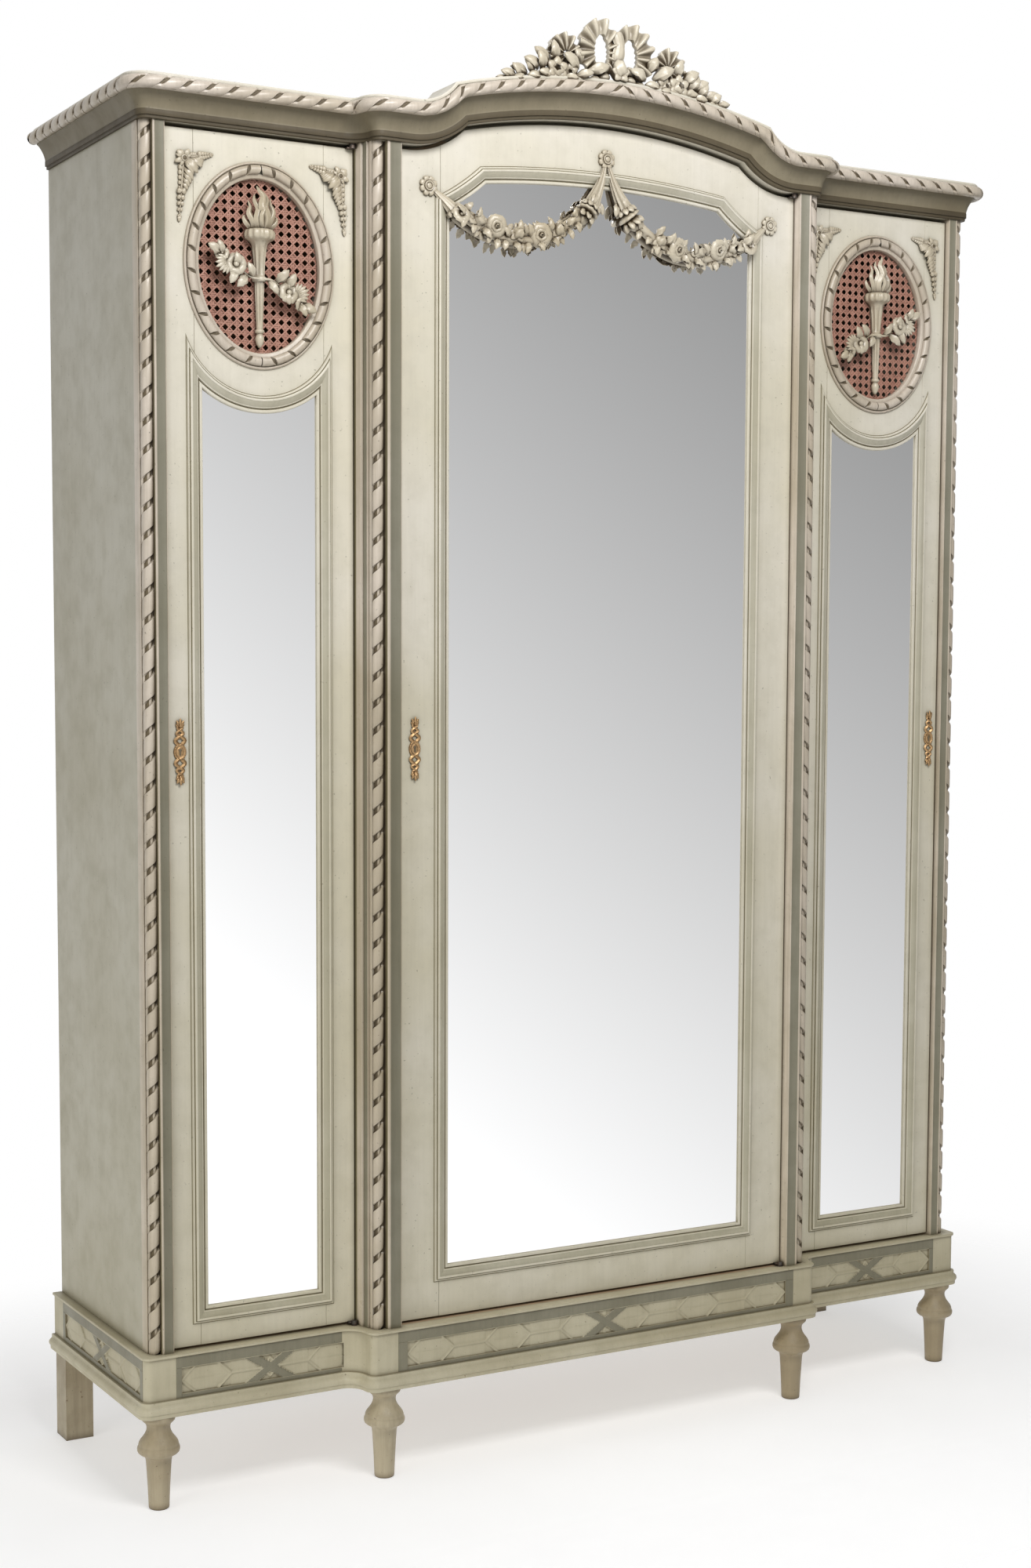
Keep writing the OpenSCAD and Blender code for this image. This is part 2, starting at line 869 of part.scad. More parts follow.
module centre_mirror() {
    y0 = centre_face_y + glass_y;
    color(silver) slab(y0, y0 + glass_t) arch_glass(glass_rebate - glass_fit);
}

module centre_mirror_back() {
    y0 = centre_face_y + glass_y + glass_t;
    color(timber) slab(y0, y0 + back_board_t) arch_glass(glass_rebate - glass_fit);
}

// swag lists x, z and radius of the blooms of the right-hand half
module garland() {
    rosette_r = 16.5;
    rosette_t = 9;
    rosette_x = 345;
    rosette_z = 2151;
    bloom_y = centre_face_y - mould_h;
    bloom_t = 11;
    petal_t = 8;
    petal_scale = 0.6;
    swag = [
        [333, 2143, 9], [321, 2132, 10], [308, 2119, 12], [290, 2104, 18], [262, 2090, 19],
        [233, 2083, 18], [204, 2074, 19], [174, 2070, 19], [144, 2072, 19], [114, 2081, 19],
        [84, 2094, 19], [58, 2113, 19], [38, 2136, 18], [26, 2160, 13], [18, 2180, 11],
        [12, 2198, 10], [6, 2214, 9]
    ];
    color(cream) {
        slab(centre_face_y - rosette_t, centre_face_y) {
            both() translate([rosette_x, rosette_z]) circle(r = rosette_r);
            translate([0, 2230]) circle(r = rosette_r);
        }
        slab(bloom_y - bloom_t, bloom_y) both() for (b = swag)
            translate([b[0], b[1]]) circle(r = b[2]);
        slab(bloom_y - bloom_t - petal_t, bloom_y - bloom_t) both() for (b = swag)
            translate([b[0], b[1]]) circle(r = b[2] * petal_scale);
    }
}

foot_outer_left();
foot_mid_left();
foot_mid_right();
foot_outer_right();
rear_leg_left();
rear_leg_right();
plinth_front();
plinth_side_left();
plinth_side_right();
base_moulding();
friezes();
floor_board();
side_panel_left();
side_panel_right();
partition_left();
partition_right();
back_panel();
top_board();
corner_post_left();
corner_post_right();
mid_post_left();
mid_post_right();
cornice();
cornice_rope();
crest();
side_shelves();
hat_shelf();
shelf_battens();
hanging_rail();
pivot_plates();
left() side_frame();  // left_door_frame
left() side_mirror();  // left_door_mirror
left() side_mirror_back();  // left_door_mirror_back
left() lock_case(side_out, face_y);  // left_door_lock_case
left() lock_bolt(side_out, face_y);  // left_door_lock_bolt
left() escutcheon(side_out - esc_in, face_y);  // left_door_escutcheon
left() color(iron) at_side_pivot() pivot_leaf();  // left_door_hinge_leaves
left() side_ring();  // left_door_oval_ring
left() side_cane();  // left_door_cane_panel
left() side_torch();  // left_door_torch
left() side_spandrels();  // left_door_spandrels
centre_frame();  // centre_door_frame
centre_mirror();  // centre_door_mirror
centre_mirror_back();  // centre_door_mirror_back
left() lock_case(centre_half, centre_face_y);  // centre_door_lock_case
left() lock_bolt(centre_half, centre_face_y);  // centre_door_lock_bolt
escutcheon(centre_esc_in - centre_half, centre_face_y);  // centre_door_escutcheon
color(iron) at_centre_pivot() pivot_leaf();  // centre_door_hinge_leaves
garland();  // centre_door_garland
side_frame();  // right_door_frame
side_mirror();  // right_door_mirror
side_mirror_back();  // right_door_mirror_back
lock_case(side_out, face_y);  // right_door_lock_case
lock_bolt(side_out, face_y);  // right_door_lock_bolt
escutcheon(side_out - esc_in, face_y);  // right_door_escutcheon
color(iron) at_side_pivot() pivot_leaf();  // right_door_hinge_leaves
side_ring();  // right_door_oval_ring
side_cane();  // right_door_cane_panel
side_torch();  // right_door_torch
side_spandrels();  // right_door_spandrels
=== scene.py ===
import random
from math import atan2, ceil, copysign, cos, degrees, hypot, pi, radians, sin, sqrt
import bmesh
import bpy
import numpy as np
from mathutils import Matrix, Vector
from mathutils.geometry import tessellate_polygon

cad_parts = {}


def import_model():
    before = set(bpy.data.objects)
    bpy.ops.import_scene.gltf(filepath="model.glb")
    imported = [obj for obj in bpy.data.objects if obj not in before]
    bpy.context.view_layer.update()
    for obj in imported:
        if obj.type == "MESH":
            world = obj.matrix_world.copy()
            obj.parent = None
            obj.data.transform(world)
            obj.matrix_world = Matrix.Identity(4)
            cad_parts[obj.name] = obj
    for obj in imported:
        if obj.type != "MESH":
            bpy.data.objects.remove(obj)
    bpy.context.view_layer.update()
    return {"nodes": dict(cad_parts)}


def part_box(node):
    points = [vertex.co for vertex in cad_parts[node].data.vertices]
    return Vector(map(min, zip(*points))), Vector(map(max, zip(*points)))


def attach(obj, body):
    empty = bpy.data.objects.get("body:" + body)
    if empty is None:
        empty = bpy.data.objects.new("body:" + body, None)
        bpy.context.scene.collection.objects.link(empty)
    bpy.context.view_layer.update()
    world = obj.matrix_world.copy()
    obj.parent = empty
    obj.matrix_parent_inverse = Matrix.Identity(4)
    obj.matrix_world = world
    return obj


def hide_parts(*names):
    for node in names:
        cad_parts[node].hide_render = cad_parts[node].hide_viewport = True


# Looks of the three-door armoire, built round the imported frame.
# Metres, row frame: X right, Y back, Z up. Small sizes are written in millimetres times MM, and the helpers
# that carve leaves, flowers, buds, domes and turned shapes take plain millimetres.
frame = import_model()
NODES = frame["nodes"]
MM = 0.001
TAU = 2 * pi
# material numbers of a shape's faces
CREAM, BAND_OR_SHADE, SHADOW_FACE, GLAZE_AND_SHADE = 0, 1, 2, 3


def vec(*p):
    return Vector(p)


OUT = vec(0, -1, 0)


def around(n):
    """n equal steps round a circle, in radians."""
    return [TAU * k / n for k in range(n)]


def heading(a, y=0.0, sx=1, sz=1):
    """Direction at a degrees in the X-Z plane, with a lean y, turned over by sx and sz."""
    return vec(sx * cos(radians(a)), y, sz * sin(radians(a)))


# ---------------------------------------------------------------- mesh helpers
class Shape:
    """Vertices, faces and a material number for each face."""

    def __init__(self):
        self.verts, self.faces, self.mats = [], [], []

    def grid(self, rows, mat=CREAM, closed=False, ring=False):
        """Quads between rows of points. mat is a number, a list by row, or a function of row and column."""
        base, n = len(self.verts), len(rows[0])
        for row in rows:
            self.verts.extend(row)
        for i in range(len(rows) if ring else len(rows) - 1):
            a, b = base + i * n, base + ((i + 1) % len(rows)) * n
            for j in range(n if closed else n - 1):
                k = (j + 1) % n
                self.faces.append((a + j, a + k, b + k, b + j))
                m = mat(i, j) if callable(mat) else mat[i] if isinstance(mat, (list, tuple)) else mat
                self.mats.append(m)

    def cap(self, loop, mat=CREAM):
        base = len(self.verts)
        self.verts.extend(loop)
        self.faces.append(tuple(range(base, base + len(loop))))
        self.mats.append(mat)

    def join(self, other, mirror=False):
        base = len(self.verts)
        self.verts.extend(vec(-p[0], p[1], p[2]) if mirror else p for p in other.verts)
        self.faces.extend(
            tuple(base + i for i in (reversed(f) if mirror else f)) for f in other.faces
        )
        self.mats.extend(other.mats)
        return self

    def build(self, name, mats, nodes=(), body="carcass", slot="cream_paint", sharp=38, normals=True):
        """Object on one body, in place of CAD nodes. Edges over sharp degrees stay sharp."""
        mesh = bpy.data.meshes.new(name)
        mesh.from_pydata([tuple(v) for v in self.verts], [], self.faces)
        for m in mats:
            mesh.materials.append(m)
        mesh.polygons.foreach_set("material_index", self.mats)
        bm = bmesh.new()
        bm.from_mesh(mesh)
        bmesh.ops.remove_doubles(bm, verts=bm.verts, dist=0.01 * MM)
        bmesh.ops.dissolve_degenerate(bm, edges=bm.edges, dist=0.002 * MM)
        loose = [v for v in bm.verts if not v.link_faces]
        bmesh.ops.delete(bm, geom=loose, context="VERTS")
        if normals:
            bmesh.ops.recalc_face_normals(bm, faces=bm.faces)
        bm.to_mesh(mesh)
        bm.free()
        mesh.shade_smooth()
        mesh.set_sharp_from_angle(angle=radians(sharp))
        obj = bpy.data.objects.new(name, mesh)
        bpy.context.scene.collection.objects.link(obj)
        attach(obj, body)
        if nodes:
            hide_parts(*nodes)
        return obj


def mirrored(shape):
    return Shape().join(shape, mirror=True)


def both(shape):
    return Shape().join(shape).join(shape, mirror=True)


def arc(cx, cy, r, a0, a1, n):
    """Points on a circle from angle a0 to a1 in degrees, both ends included."""
    return [
        (cx + r * cos(radians(a0 + (a1 - a0) * k / n)),
         cy + r * sin(radians(a0 + (a1 - a0) * k / n)))
        for k in range(n + 1)
    ]


def arc_between(c, r, p, q, n):
    """Short way round the circle from p to q."""
    a0 = degrees(atan2(p[1] - c[1], p[0] - c[0]))
    a1 = degrees(atan2(q[1] - c[1], q[0] - c[0]))
    while a1 - a0 > 180:
        a1 -= 360
    while a1 - a0 < -180:
        a1 += 360
    return arc(c[0], c[1], r, a0, a1, n)


def meet(c1, r1, c2, r2):
    """The two points where two circles cross."""
    d = vec(c2[0] - c1[0], c2[1] - c1[1])
    a = (r1 * r1 - r2 * r2 + d.length_squared) / (2 * d.length)
    h = sqrt(max(r1 * r1 - a * a, 0))
    e = d.normalized()
    return [(c1[0] + a * e.x + s * h * e.y, c1[1] + a * e.y - s * h * e.x) for s in (-1, 1)]


def area(loop):
    return 0.5 * sum(
        loop[i - 1][0] * loop[i][1] - loop[i][0] * loop[i - 1][1] for i in range(len(loop))
    )


def inset(loop, d):
    """Loop moved to its left by d, with mitred corners."""
    out = []
    for i in range(len(loop)):
        p, a, b = Vector(loop[i]), Vector(loop[i - 1]), Vector(loop[(i + 1) % len(loop)])
        e, f = (p - a).normalized(), (b - p).normalized()
        n1, n2 = vec(-e.y, e.x), vec(-f.y, f.x)
        m = (n1 + n2) / max(1 + n1.dot(n2), 0.25)
        out.append((p.x + m.x * d, p.y + m.y * d))
    return out


def board(shape, outer, holes, y0, y1, bevel=0.6 * MM, mat=CREAM, place=None):
    """Flat board whose outline lies in X and Z, from y0 (front) to y1, with an eased front edge."""
    place = place or vec
    loops = [outer if area(outer) > 0 else outer[::-1]]
    loops += [h[::-1] if area(h) > 0 else h for h in holes]
    fronts = [inset(l, bevel) for l in loops]
    for group, y, flip in ((fronts, y0, False), (loops, y1, True)):
        base = len(shape.verts)
        flat = [p for l in group for p in l]
        shape.verts.extend(place(p[0], y, p[1]) for p in flat)
        for t in tessellate_polygon([[vec(p[0], p[1], 0) for p in l] for l in group]):
            shape.faces.append(tuple(base + i for i in (reversed(t) if flip else t)))
            shape.mats.append(mat)
    for front, loop in zip(fronts, loops):
        shape.grid(
            [[place(p[0], y0, p[1]) for p in front], [place(p[0], y0 + bevel, p[1]) for p in loop],
             [place(p[0], y1, p[1]) for p in loop]], mat, closed=True)


def pierce(shape, x, lo, hi, play, inward, depth, capped=False):
    """Cut a mouth with a sleeve through the face on the plane x, wider by play than the box lo to hi."""
    y0, y1, z0, z1 = lo.y - play, hi.y + play, lo.z - play, hi.z + play
    for n, face in enumerate(shape.faces):
        pts = [shape.verts[i] for i in face]
        ys, zs = [p[1] for p in pts], [p[2] for p in pts]
        flat = max(abs(p[0] - x) for p in pts) < 0.05 * MM
        if flat and min(ys) < y0 and max(ys) > y1 and min(zs) < z0 and max(zs) > z1:
            break
    else:
        raise ValueError("no face to pierce")
    mat = shape.mats[n]
    del shape.faces[n], shape.mats[n]
    rows = []
    for dx, a, b, c, d in ((0, min(ys), max(ys), min(zs), max(zs)), (0, y0, y1, z0, z1),
                           (inward * depth, y0, y1, z0, z1)):
        row = [vec(x + dx, y, z) for y, z in ((a, c), (b, c), (b, d), (a, d))]
        rows.append(row[::-1] if inward > 0 else row)
    # the sleeve and its cap are painted shadow
    shape.grid(rows, [mat, SHADOW_FACE], closed=True)
    if capped:
        shape.cap(rows[2], SHADOW_FACE)


def lathe(shape, profile, centre, steps=40, flute=None, axes=None, mat=CREAM):
    """Profile of (radius, height) in millimetres, turned about a line through centre.
    flute(height, angle) scales the radius."""
    x, y, z = axes or (vec(1, 0, 0), vec(0, 1, 0), vec(0, 0, 1))
    c = Vector(centre)
    rows = []
    for r, h in profile:
        row = []
        for a in around(steps):
            q = r * MM * (flute(h, a) if flute else 1)
            row.append(c + x * q * cos(a) + y * q * sin(a) + z * h * MM)
        rows.append(row)
    shape.grid(rows, mat, closed=True)


def rope(shape, line, radius, pitch, gap, rod, facing, spread, lean=1.0, lit=0.0):
    """Reeded ribbon wound round a thin rod, its gaps cut only within spread of the facing side.
    line is a list of (centre, out, up); within lit of the facing side the gaps keep the light paint."""
    reed, steps = 0.35 * MM, 44
    length = [0.0]
    for a, b in zip(line, line[1:]):
        length.append(length[-1] + (b[0] - a[0]).length)
    total = length[-1]
    stations = [(0, radius - 0.5 * MM), (0.5 * MM, rod), (0.5 * gap, rod * 1.04), (gap - 0.6 * MM, rod),
                (gap, radius - 0.6 * MM), (gap + 1.6 * MM, radius), (0.62 * pitch, radius + 0.2 * MM),
                (pitch - 1.6 * MM, radius)]
    turns = range(-1, ceil(total / pitch) + 1)
    ts = np.array([turn * pitch + t for turn in turns for t, _ in stations])
    rs = np.array([r for _ in turns for _, r in stations])[:, None]
    dip = np.array([k in (1, 2, 3) for _ in turns for k in range(len(stations))])
    phi = TAU * np.arange(steps + 1) / steps - pi
    s = np.clip(ts[:, None] + lean * pitch * phi / TAU, 0, total)
    cut = np.clip((np.cos(phi - facing) - cos(spread)) / 0.28, 0, 1)
    shadowed = (cut > 0.45) & (np.cos(phi - facing) <= cos(lit) + (lit == 0.0))
    wave = np.where(np.arange(steps + 1) % 2 == 1, reed, 0.0)
    r = np.where(dip[:, None], radius - (radius - rs) * cut, rs - wave)
    pos, out, up = ([np.interp(s, length, [p[k][i] for p in line]) for i in range(3)] for k in range(3))
    xyz = np.stack([pos[i] + r * (np.cos(phi) * out[i] + np.sin(phi) * up[i]) for i in range(3)], -1)
    # the cut gaps outside lit of the facing side are painted shadow
    deep = dip & np.append(dip[1:], dip[-1])
    shape.grid([[Vector(p) for p in row] for row in xyz],
               lambda i, j: SHADOW_FACE if deep[i] and shadowed[j] else CREAM)


def leaf(shape, base, along, normal, length, width, lift, droop, lobes=0.0, thick=1.2,
         twist=0.0, tip=0.9, rows=8):
    """Carved leaf or petal from base, running along, arched away from normal's plane."""
    length, width, thick = length * MM, width * MM, thick * MM
    along, n = Vector(along).normalized(), Vector(normal).normalized()
    side = along.cross(n).normalized()
    n = side.cross(along).normalized()
    out = []
    for i in range(rows + 1):
        u = i / rows
        w = 0.5 * width * (sin(pi * min(u * tip + 0.06, 1.0)) ** 0.75)
        w *= 1 + lobes * cos(u * 5 * pi)
        w = max(w, 0.02 * width)
        h = lift * length * sin(pi * u * 0.9)
        a = twist * u
        sd = side * cos(a) + n * sin(a)
        nn = n * cos(a) - side * sin(a)
        c = Vector(base) + along * (u * length) + n * h
        edge = droop * w
        rib = 0.16 * w * (1 - u)
        ring = [c - sd * w - nn * edge, c - sd * w * 0.55 + nn * rib * 1.4, c - nn * rib * 0.6,
                c + sd * w * 0.55 + nn * rib * 1.4, c + sd * w - nn * edge]
        ring += [c + sd * w * 0.9 - nn * (edge + thick), c - nn * (thick + 0.5 * rib + 0.2 * edge),
                 c - sd * w * 0.9 - nn * (edge + thick)]
        out.append(ring)
    shape.grid(out, closed=True)
    shape.cap(out[0][::-1])
    shape.cap(out[-1])


def dome(shape, centre, normal, radius, height, steps=14, rings=4, mat=CREAM):
    """Round button standing on a surface."""
    n = Vector(normal).normalized()
    x = n.orthogonal().normalized()
    profile = [(radius * cos(k * pi / 2 / rings), height * sin(k * pi / 2 / rings)) for k in range(rings)]
    profile = [(radius * 0.96, -1.5)] + profile + [(radius * 0.06, height)]
    lathe(shape, profile, centre, steps, axes=(x, n.cross(x), n), mat=mat)


def flower(shape, centre, normal, radius, petals, turn, lift, core, lobes=0.0):
    """Open flower: arched petals round a button."""
    n = Vector(normal).normalized()
    x = n.orthogonal().normalized()
    y = n.cross(x)
    c = Vector(centre)
    for k in range(petals):
        a = turn + TAU * k / petals
        d = x * cos(a) + y * sin(a)
        leaf(shape, c + d * radius * 0.14 * MM, d + n * 0.12, n, radius * 0.9,
             2.3 * radius * sin(pi / petals), lift, 0.2, lobes, 1.0, tip=0.72, rows=6)
    dome(shape, c + n * radius * 0.12 * MM, n, radius * core, radius * core * 0.9, 12, 3)


def bud(shape, centre, along, radius, length, ridges=3, twist=2.4):
    """Closed rose or bud with spiral petals."""
    n = Vector(along).normalized()
    x = n.orthogonal().normalized()
    profile = [(radius * max(sin(pi * (0.08 + 0.84 * k / 8)) ** 0.7, 0.1),
                length * (k / 8 - 0.5)) for k in range(9)]
    lathe(shape, profile, centre, 20, lambda h, a: 1 + 0.17 * cos(ridges * a + twist * h / length * 3),
          (x, n.cross(x), n))


def tube(shape, points, radii, steps=10, flat=1.0, flute=None):
    """Round or flattened stem through points."""
    pts = [Vector(p) for p in points]
    rows = []
    for i, p in enumerate(pts):
        t = (pts[min(i + 1, len(pts) - 1)] - pts[max(i - 1, 0)]).normalized()
        s = t.cross(OUT).normalized()
        m = s.cross(t).normalized()
        row = []
        for a in around(steps):
            r = radii[i] * (flute(a) if flute else 1)
            row.append(p + s * r * cos(a) + m * r * flat * sin(a))
        rows.append(row)
    shape.grid(rows, closed=True)
    shape.cap(rows[0][::-1])
    shape.cap(rows[-1])


def smooth_path(points, n):
    """Catmull-Rom curve through points, n steps between each pair."""
    p = [Vector(points[0])] + [Vector(q) for q in points] + [Vector(points[-1])]
    out = []
    for i in range(1, len(p) - 2):
        for k in range(n):
            t = k / n
            out.append(0.5 * (2 * p[i] + (p[i + 1] - p[i - 1]) * t
                              + (2 * p[i - 1] - 5 * p[i] + 4 * p[i + 1] - p[i + 2]) * t * t
                              + (3 * p[i] - 3 * p[i + 1] + p[i + 2] - p[i - 1]) * t ** 3))
    out.append(p[-2])
    return out


# ---------------------------------------------------------------- materials
def add(nt, kind, values=None, **props):
    """New shader node with its input values and properties."""
    n = nt.nodes.new("ShaderNode" + kind)
    for k, v in props.items():
        setattr(n, k, v)
    for k, v in (values or {}).items():
        n.inputs[k].default_value = v
    return n


def noise(nt, scale, detail=4.0, rough=0.55, stretch=(1, 1, 1)):
    """Noise in object space; stretch multiplies the frequency along each axis."""
    co = add(nt, "TexCoord")
    mp = add(nt, "Mapping", {"Scale": stretch})
    tx = add(nt, "TexNoise", {"Scale": scale, "Detail": detail, "Roughness": rough})
    nt.links.new(co.outputs["Object"], mp.inputs["Vector"])
    nt.links.new(mp.outputs["Vector"], tx.inputs["Vector"])
    return tx.outputs["Fac"]


def remap(nt, value, a, b, c=0.0, d=1.0):
    n = add(nt, "MapRange", {"From Min": a, "From Max": b, "To Min": c, "To Max": d})
    nt.links.new(value, n.inputs["Value"])
    return n.outputs["Result"]


def mix(nt, fac, a, b, blend="MIX"):
    n = add(nt, "Mix", data_type="RGBA", blend_type=blend)
    for socket, v in ((n.inputs[0], fac), (n.inputs[6], a), (n.inputs[7], b)):
        if isinstance(v, bpy.types.NodeSocket):
            nt.links.new(v, socket)
        else:
            socket.default_value = (*v, 1) if isinstance(v, (tuple, list)) else v
    return n.outputs[2]


def times(nt, a, b, op="MULTIPLY"):
    n = add(nt, "Math", operation=op)
    for socket, v in ((n.inputs[0], a), (n.inputs[1], b)):
        if isinstance(v, bpy.types.NodeSocket):
            nt.links.new(v, socket)
        else:
            socket.default_value = v
    return n.outputs[0]


def bump(nt, layers):
    """Bumps one on another: (height, strength, distance in millimetres)."""
    last = None
    for height, strength, distance in layers:
        b = add(nt, "Bump", {"Strength": strength, "Distance": distance * MM})
        nt.links.new(height, b.inputs["Height"])
        if last is not None:
            nt.links.new(last, b.inputs["Normal"])
        last = b.outputs["Normal"]
    return last


def new_material(name):
    m = bpy.data.materials.new(name)
    m.use_nodes = True
    return m, m.node_tree, m.node_tree.nodes["Principled BSDF"]


def crevice(nt, distance, lo, hi):
    """1 in tight recesses, 0 on open surfaces."""
    ao = add(nt, "AmbientOcclusion", samples=6)
    ao.inputs["Distance"].default_value = distance
    return remap(nt, ao.outputs["AO"], lo, hi, 1.0, 0.0)


def dim(colour, share):
    return tuple(v * share for v in colour)


def tint(nt, c, value, lo, hi, most, colour):
    """Blend colour over c as value runs from lo to hi, most at the end."""
    return mix(nt, remap(nt, value, lo, hi, 0.0, most), c, colour)


def recess_grime_and_shade(nt, c, deep, shut_at, open_at, most, dirt_and_shade):
    """Dirt and painted shade in recesses narrower than deep."""
    return mix(nt, times(nt, crevice(nt, deep * MM, shut_at, open_at), most), c, dirt_and_shade)


def coat(nt, sh, colour, rough_by, rough, bumps=(), metallic=0.0):
    """Wire up a surface. rough_by moves the roughness over the pair rough. bumps are as bump() takes them."""
    nt.links.new(colour, sh.inputs["Base Color"])
    nt.links.new(remap(nt, rough_by, 0.3, 0.7, *rough), sh.inputs["Roughness"])
    sh.inputs["Metallic"].default_value = metallic
    if bumps:
        nt.links.new(bump(nt, bumps), sh.inputs["Normal"])


def paint(name, base, warm, dirt_and_shade, rough=(0.40, 0.58), deep=10, chips=0.0, streak=1.0, dirt_and_shade_share=0.9,
          specular=0.42, grain=(1, 1, 0.05), open_at=0.95, shut_at=0.35):
    """Old brushed paint: patchy, streaked, darkened in its recesses with dirt and painted shade, flecked, and
    darker and yellower toward the foot.
    """
    m, nt, sh = new_material(name)
    mid = noise(nt, 26.0, 6.0, 0.62)
    brush = noise(nt, 150.0, 3.0, 0.6, grain)
    fine = noise(nt, 520.0, 3.0, 0.6)
    c = tint(nt, base, noise(nt, 3.2, 3.0), 0.38, 0.64, 1.0, warm)
    c = tint(nt, c, mid, 0.44, 0.78, 0.42, dim(warm, 0.80))
    c = tint(nt, c, brush, 0.40, 0.72, 0.22 * streak, dim(warm, 0.66))
    # recesses darkened toward the dirt colour by occlusion: dirt and painted shade
    c = recess_grime_and_shade(nt, c, deep, shut_at, open_at, dirt_and_shade_share, dirt_and_shade)
    c = tint(nt, c, noise(nt, 210.0, 2.0, 0.5), 0.71, 0.76, 0.5, dim(dirt_and_shade, 0.55))
    if chips:
        c = tint(nt, c, noise(nt, 74.0, 5.0, 0.7), 0.735 - chips, 0.755 - chips, 0.85, CHIPPED)
    height = add(nt, "SeparateXYZ")
    nt.links.new(add(nt, "TexCoord").outputs["Object"], height.inputs["Vector"])
    c = mix(nt, remap(nt, height.outputs["Z"], FOOT_TINT_TOP, FOOT_TINT_FOOT), c, FOOT_TINT, "MULTIPLY")
    sh.inputs["Specular IOR Level"].default_value = specular
    coat(nt, sh, c, mid, rough, [(brush, 0.22, 0.5), (mid, 0.10, 1.2), (fine, 0.10, 0.25)])
    return m


def wood(name, light, dark, along):
    """Bare board with long grain along one axis."""
    m, nt, sh = new_material(name)
    stretch = tuple(0.06 if axis == along else 1 for axis in "xyz")
    rings = noise(nt, 42.0, 5.0, 0.6, stretch)
    pores = noise(nt, 330.0, 3.0, 0.6, stretch)
    c = tint(nt, light, rings, 0.34, 0.66, 1.0, dark)
    c = tint(nt, c, pores, 0.55, 0.75, 0.5, dim(dark, 0.45))
    c = tint(nt, c, noise(nt, 2.1, 3.0), 0.4, 0.7, 0.35, dim(light, 0.7))
    coat(nt, sh, c, rings, (0.52, 0.72), [(pores, 0.25, 0.4), (rings, 0.12, 0.8)])
    return m


def metal(name, base, dark, rough, metallic, scale=120.0):
    """Worn metal, darker in patches and recesses."""
    m, nt, sh = new_material(name)
    patch = noise(nt, scale, 5.0, 0.65)
    c = tint(nt, base, patch, 0.4, 0.7, 1.0, dark)
    c = recess_grime_and_shade(nt, c, 3, 0.2, 0.9, 0.8, dim(dark, 0.22))
    coat(nt, sh, c, patch, rough, [(patch, 0.18, 0.4)], metallic)
    return m


def mirror_glass():
    """Silvered glass, a little grey, with faint foxing in its silver."""
    m, nt, sh = new_material("mirror_glass")
    c = tint(nt, (0.975, 0.977, 0.98), noise(nt, 34.0, 7.0, 0.7), 0.74, 0.80, 0.35, (0.52, 0.48, 0.40))
    coat(nt, sh, c, noise(nt, 1.6, 2.0), (0.012, 0.03), metallic=1.0)
    return m


def cane_material():
    """Painted split cane with fine fibres."""
    m, nt, sh = new_material("cane")
    tone, fibre = noise(nt, 55.0, 4.0), noise(nt, 900.0, 3.0)
    c = tint(nt, (0.42, 0.205, 0.150), tone, 0.35, 0.68, 1.0, (0.285, 0.125, 0.088))
    c = tint(nt, c, fibre, 0.4, 0.75, 0.45, (0.53, 0.33, 0.235))
    # darker in the weave's recesses: dirt and painted shade
    c = recess_grime_and_shade(nt, c, 4, 0.2, 0.85, 0.75, (0.11, 0.045, 0.03))
    coat(nt, sh, c, tone, (0.42, 0.6), [(fibre, 0.3, 0.2)])
    return m


# the paint is darker and yellower toward the foot: full tint at the foot height, none at the top height
FOOT_TINT_TOP, FOOT_TINT_FOOT, FOOT_TINT = 2.1, 0.15, (0.90, 0.885, 0.80)
CHIPPED = (0.17, 0.105, 0.06)
# the dark colour darkens recesses as dirt and painted shade, and marks flecks of dirt
IVORY, IVORY_WARM, DIRT_AND_SHADE = (0.735, 0.70, 0.615), (0.665, 0.625, 0.505), (0.17, 0.145, 0.085)
BLUE, BLUE_WARM = (0.27, 0.257, 0.20), (0.21, 0.195, 0.138)
cream = paint("cream_paint", IVORY, IVORY_WARM, DIRT_AND_SHADE, deep=9)
cream_board = paint("cream_board", IVORY, IVORY_WARM, (0.22, 0.19, 0.115), deep=13, dirt_and_shade_share=0.8, streak=0.45)
mould_band = paint("moulding_band", (0.53, 0.505, 0.415), (0.44, 0.41, 0.31), (0.17, 0.145, 0.085),
                   (0.34, 0.5), deep=9)
# olive glaze on grooves, outer slopes and the door-side strips of the posts: antique glaze and painted shade
glaze_and_shade = paint("antique_glaze", (0.25, 0.225, 0.135), (0.19, 0.165, 0.09), (0.10, 0.08, 0.045), (0.42, 0.6),
              deep=8)
# very dark paint for the cornice's lower fillets under the rope: painted shade
shade = paint("cornice_painted_shade", (0.115, 0.094, 0.060), (0.08, 0.064, 0.040), (0.035, 0.027, 0.015),
              (0.44, 0.6), deep=14, streak=0.6, specular=0.2)
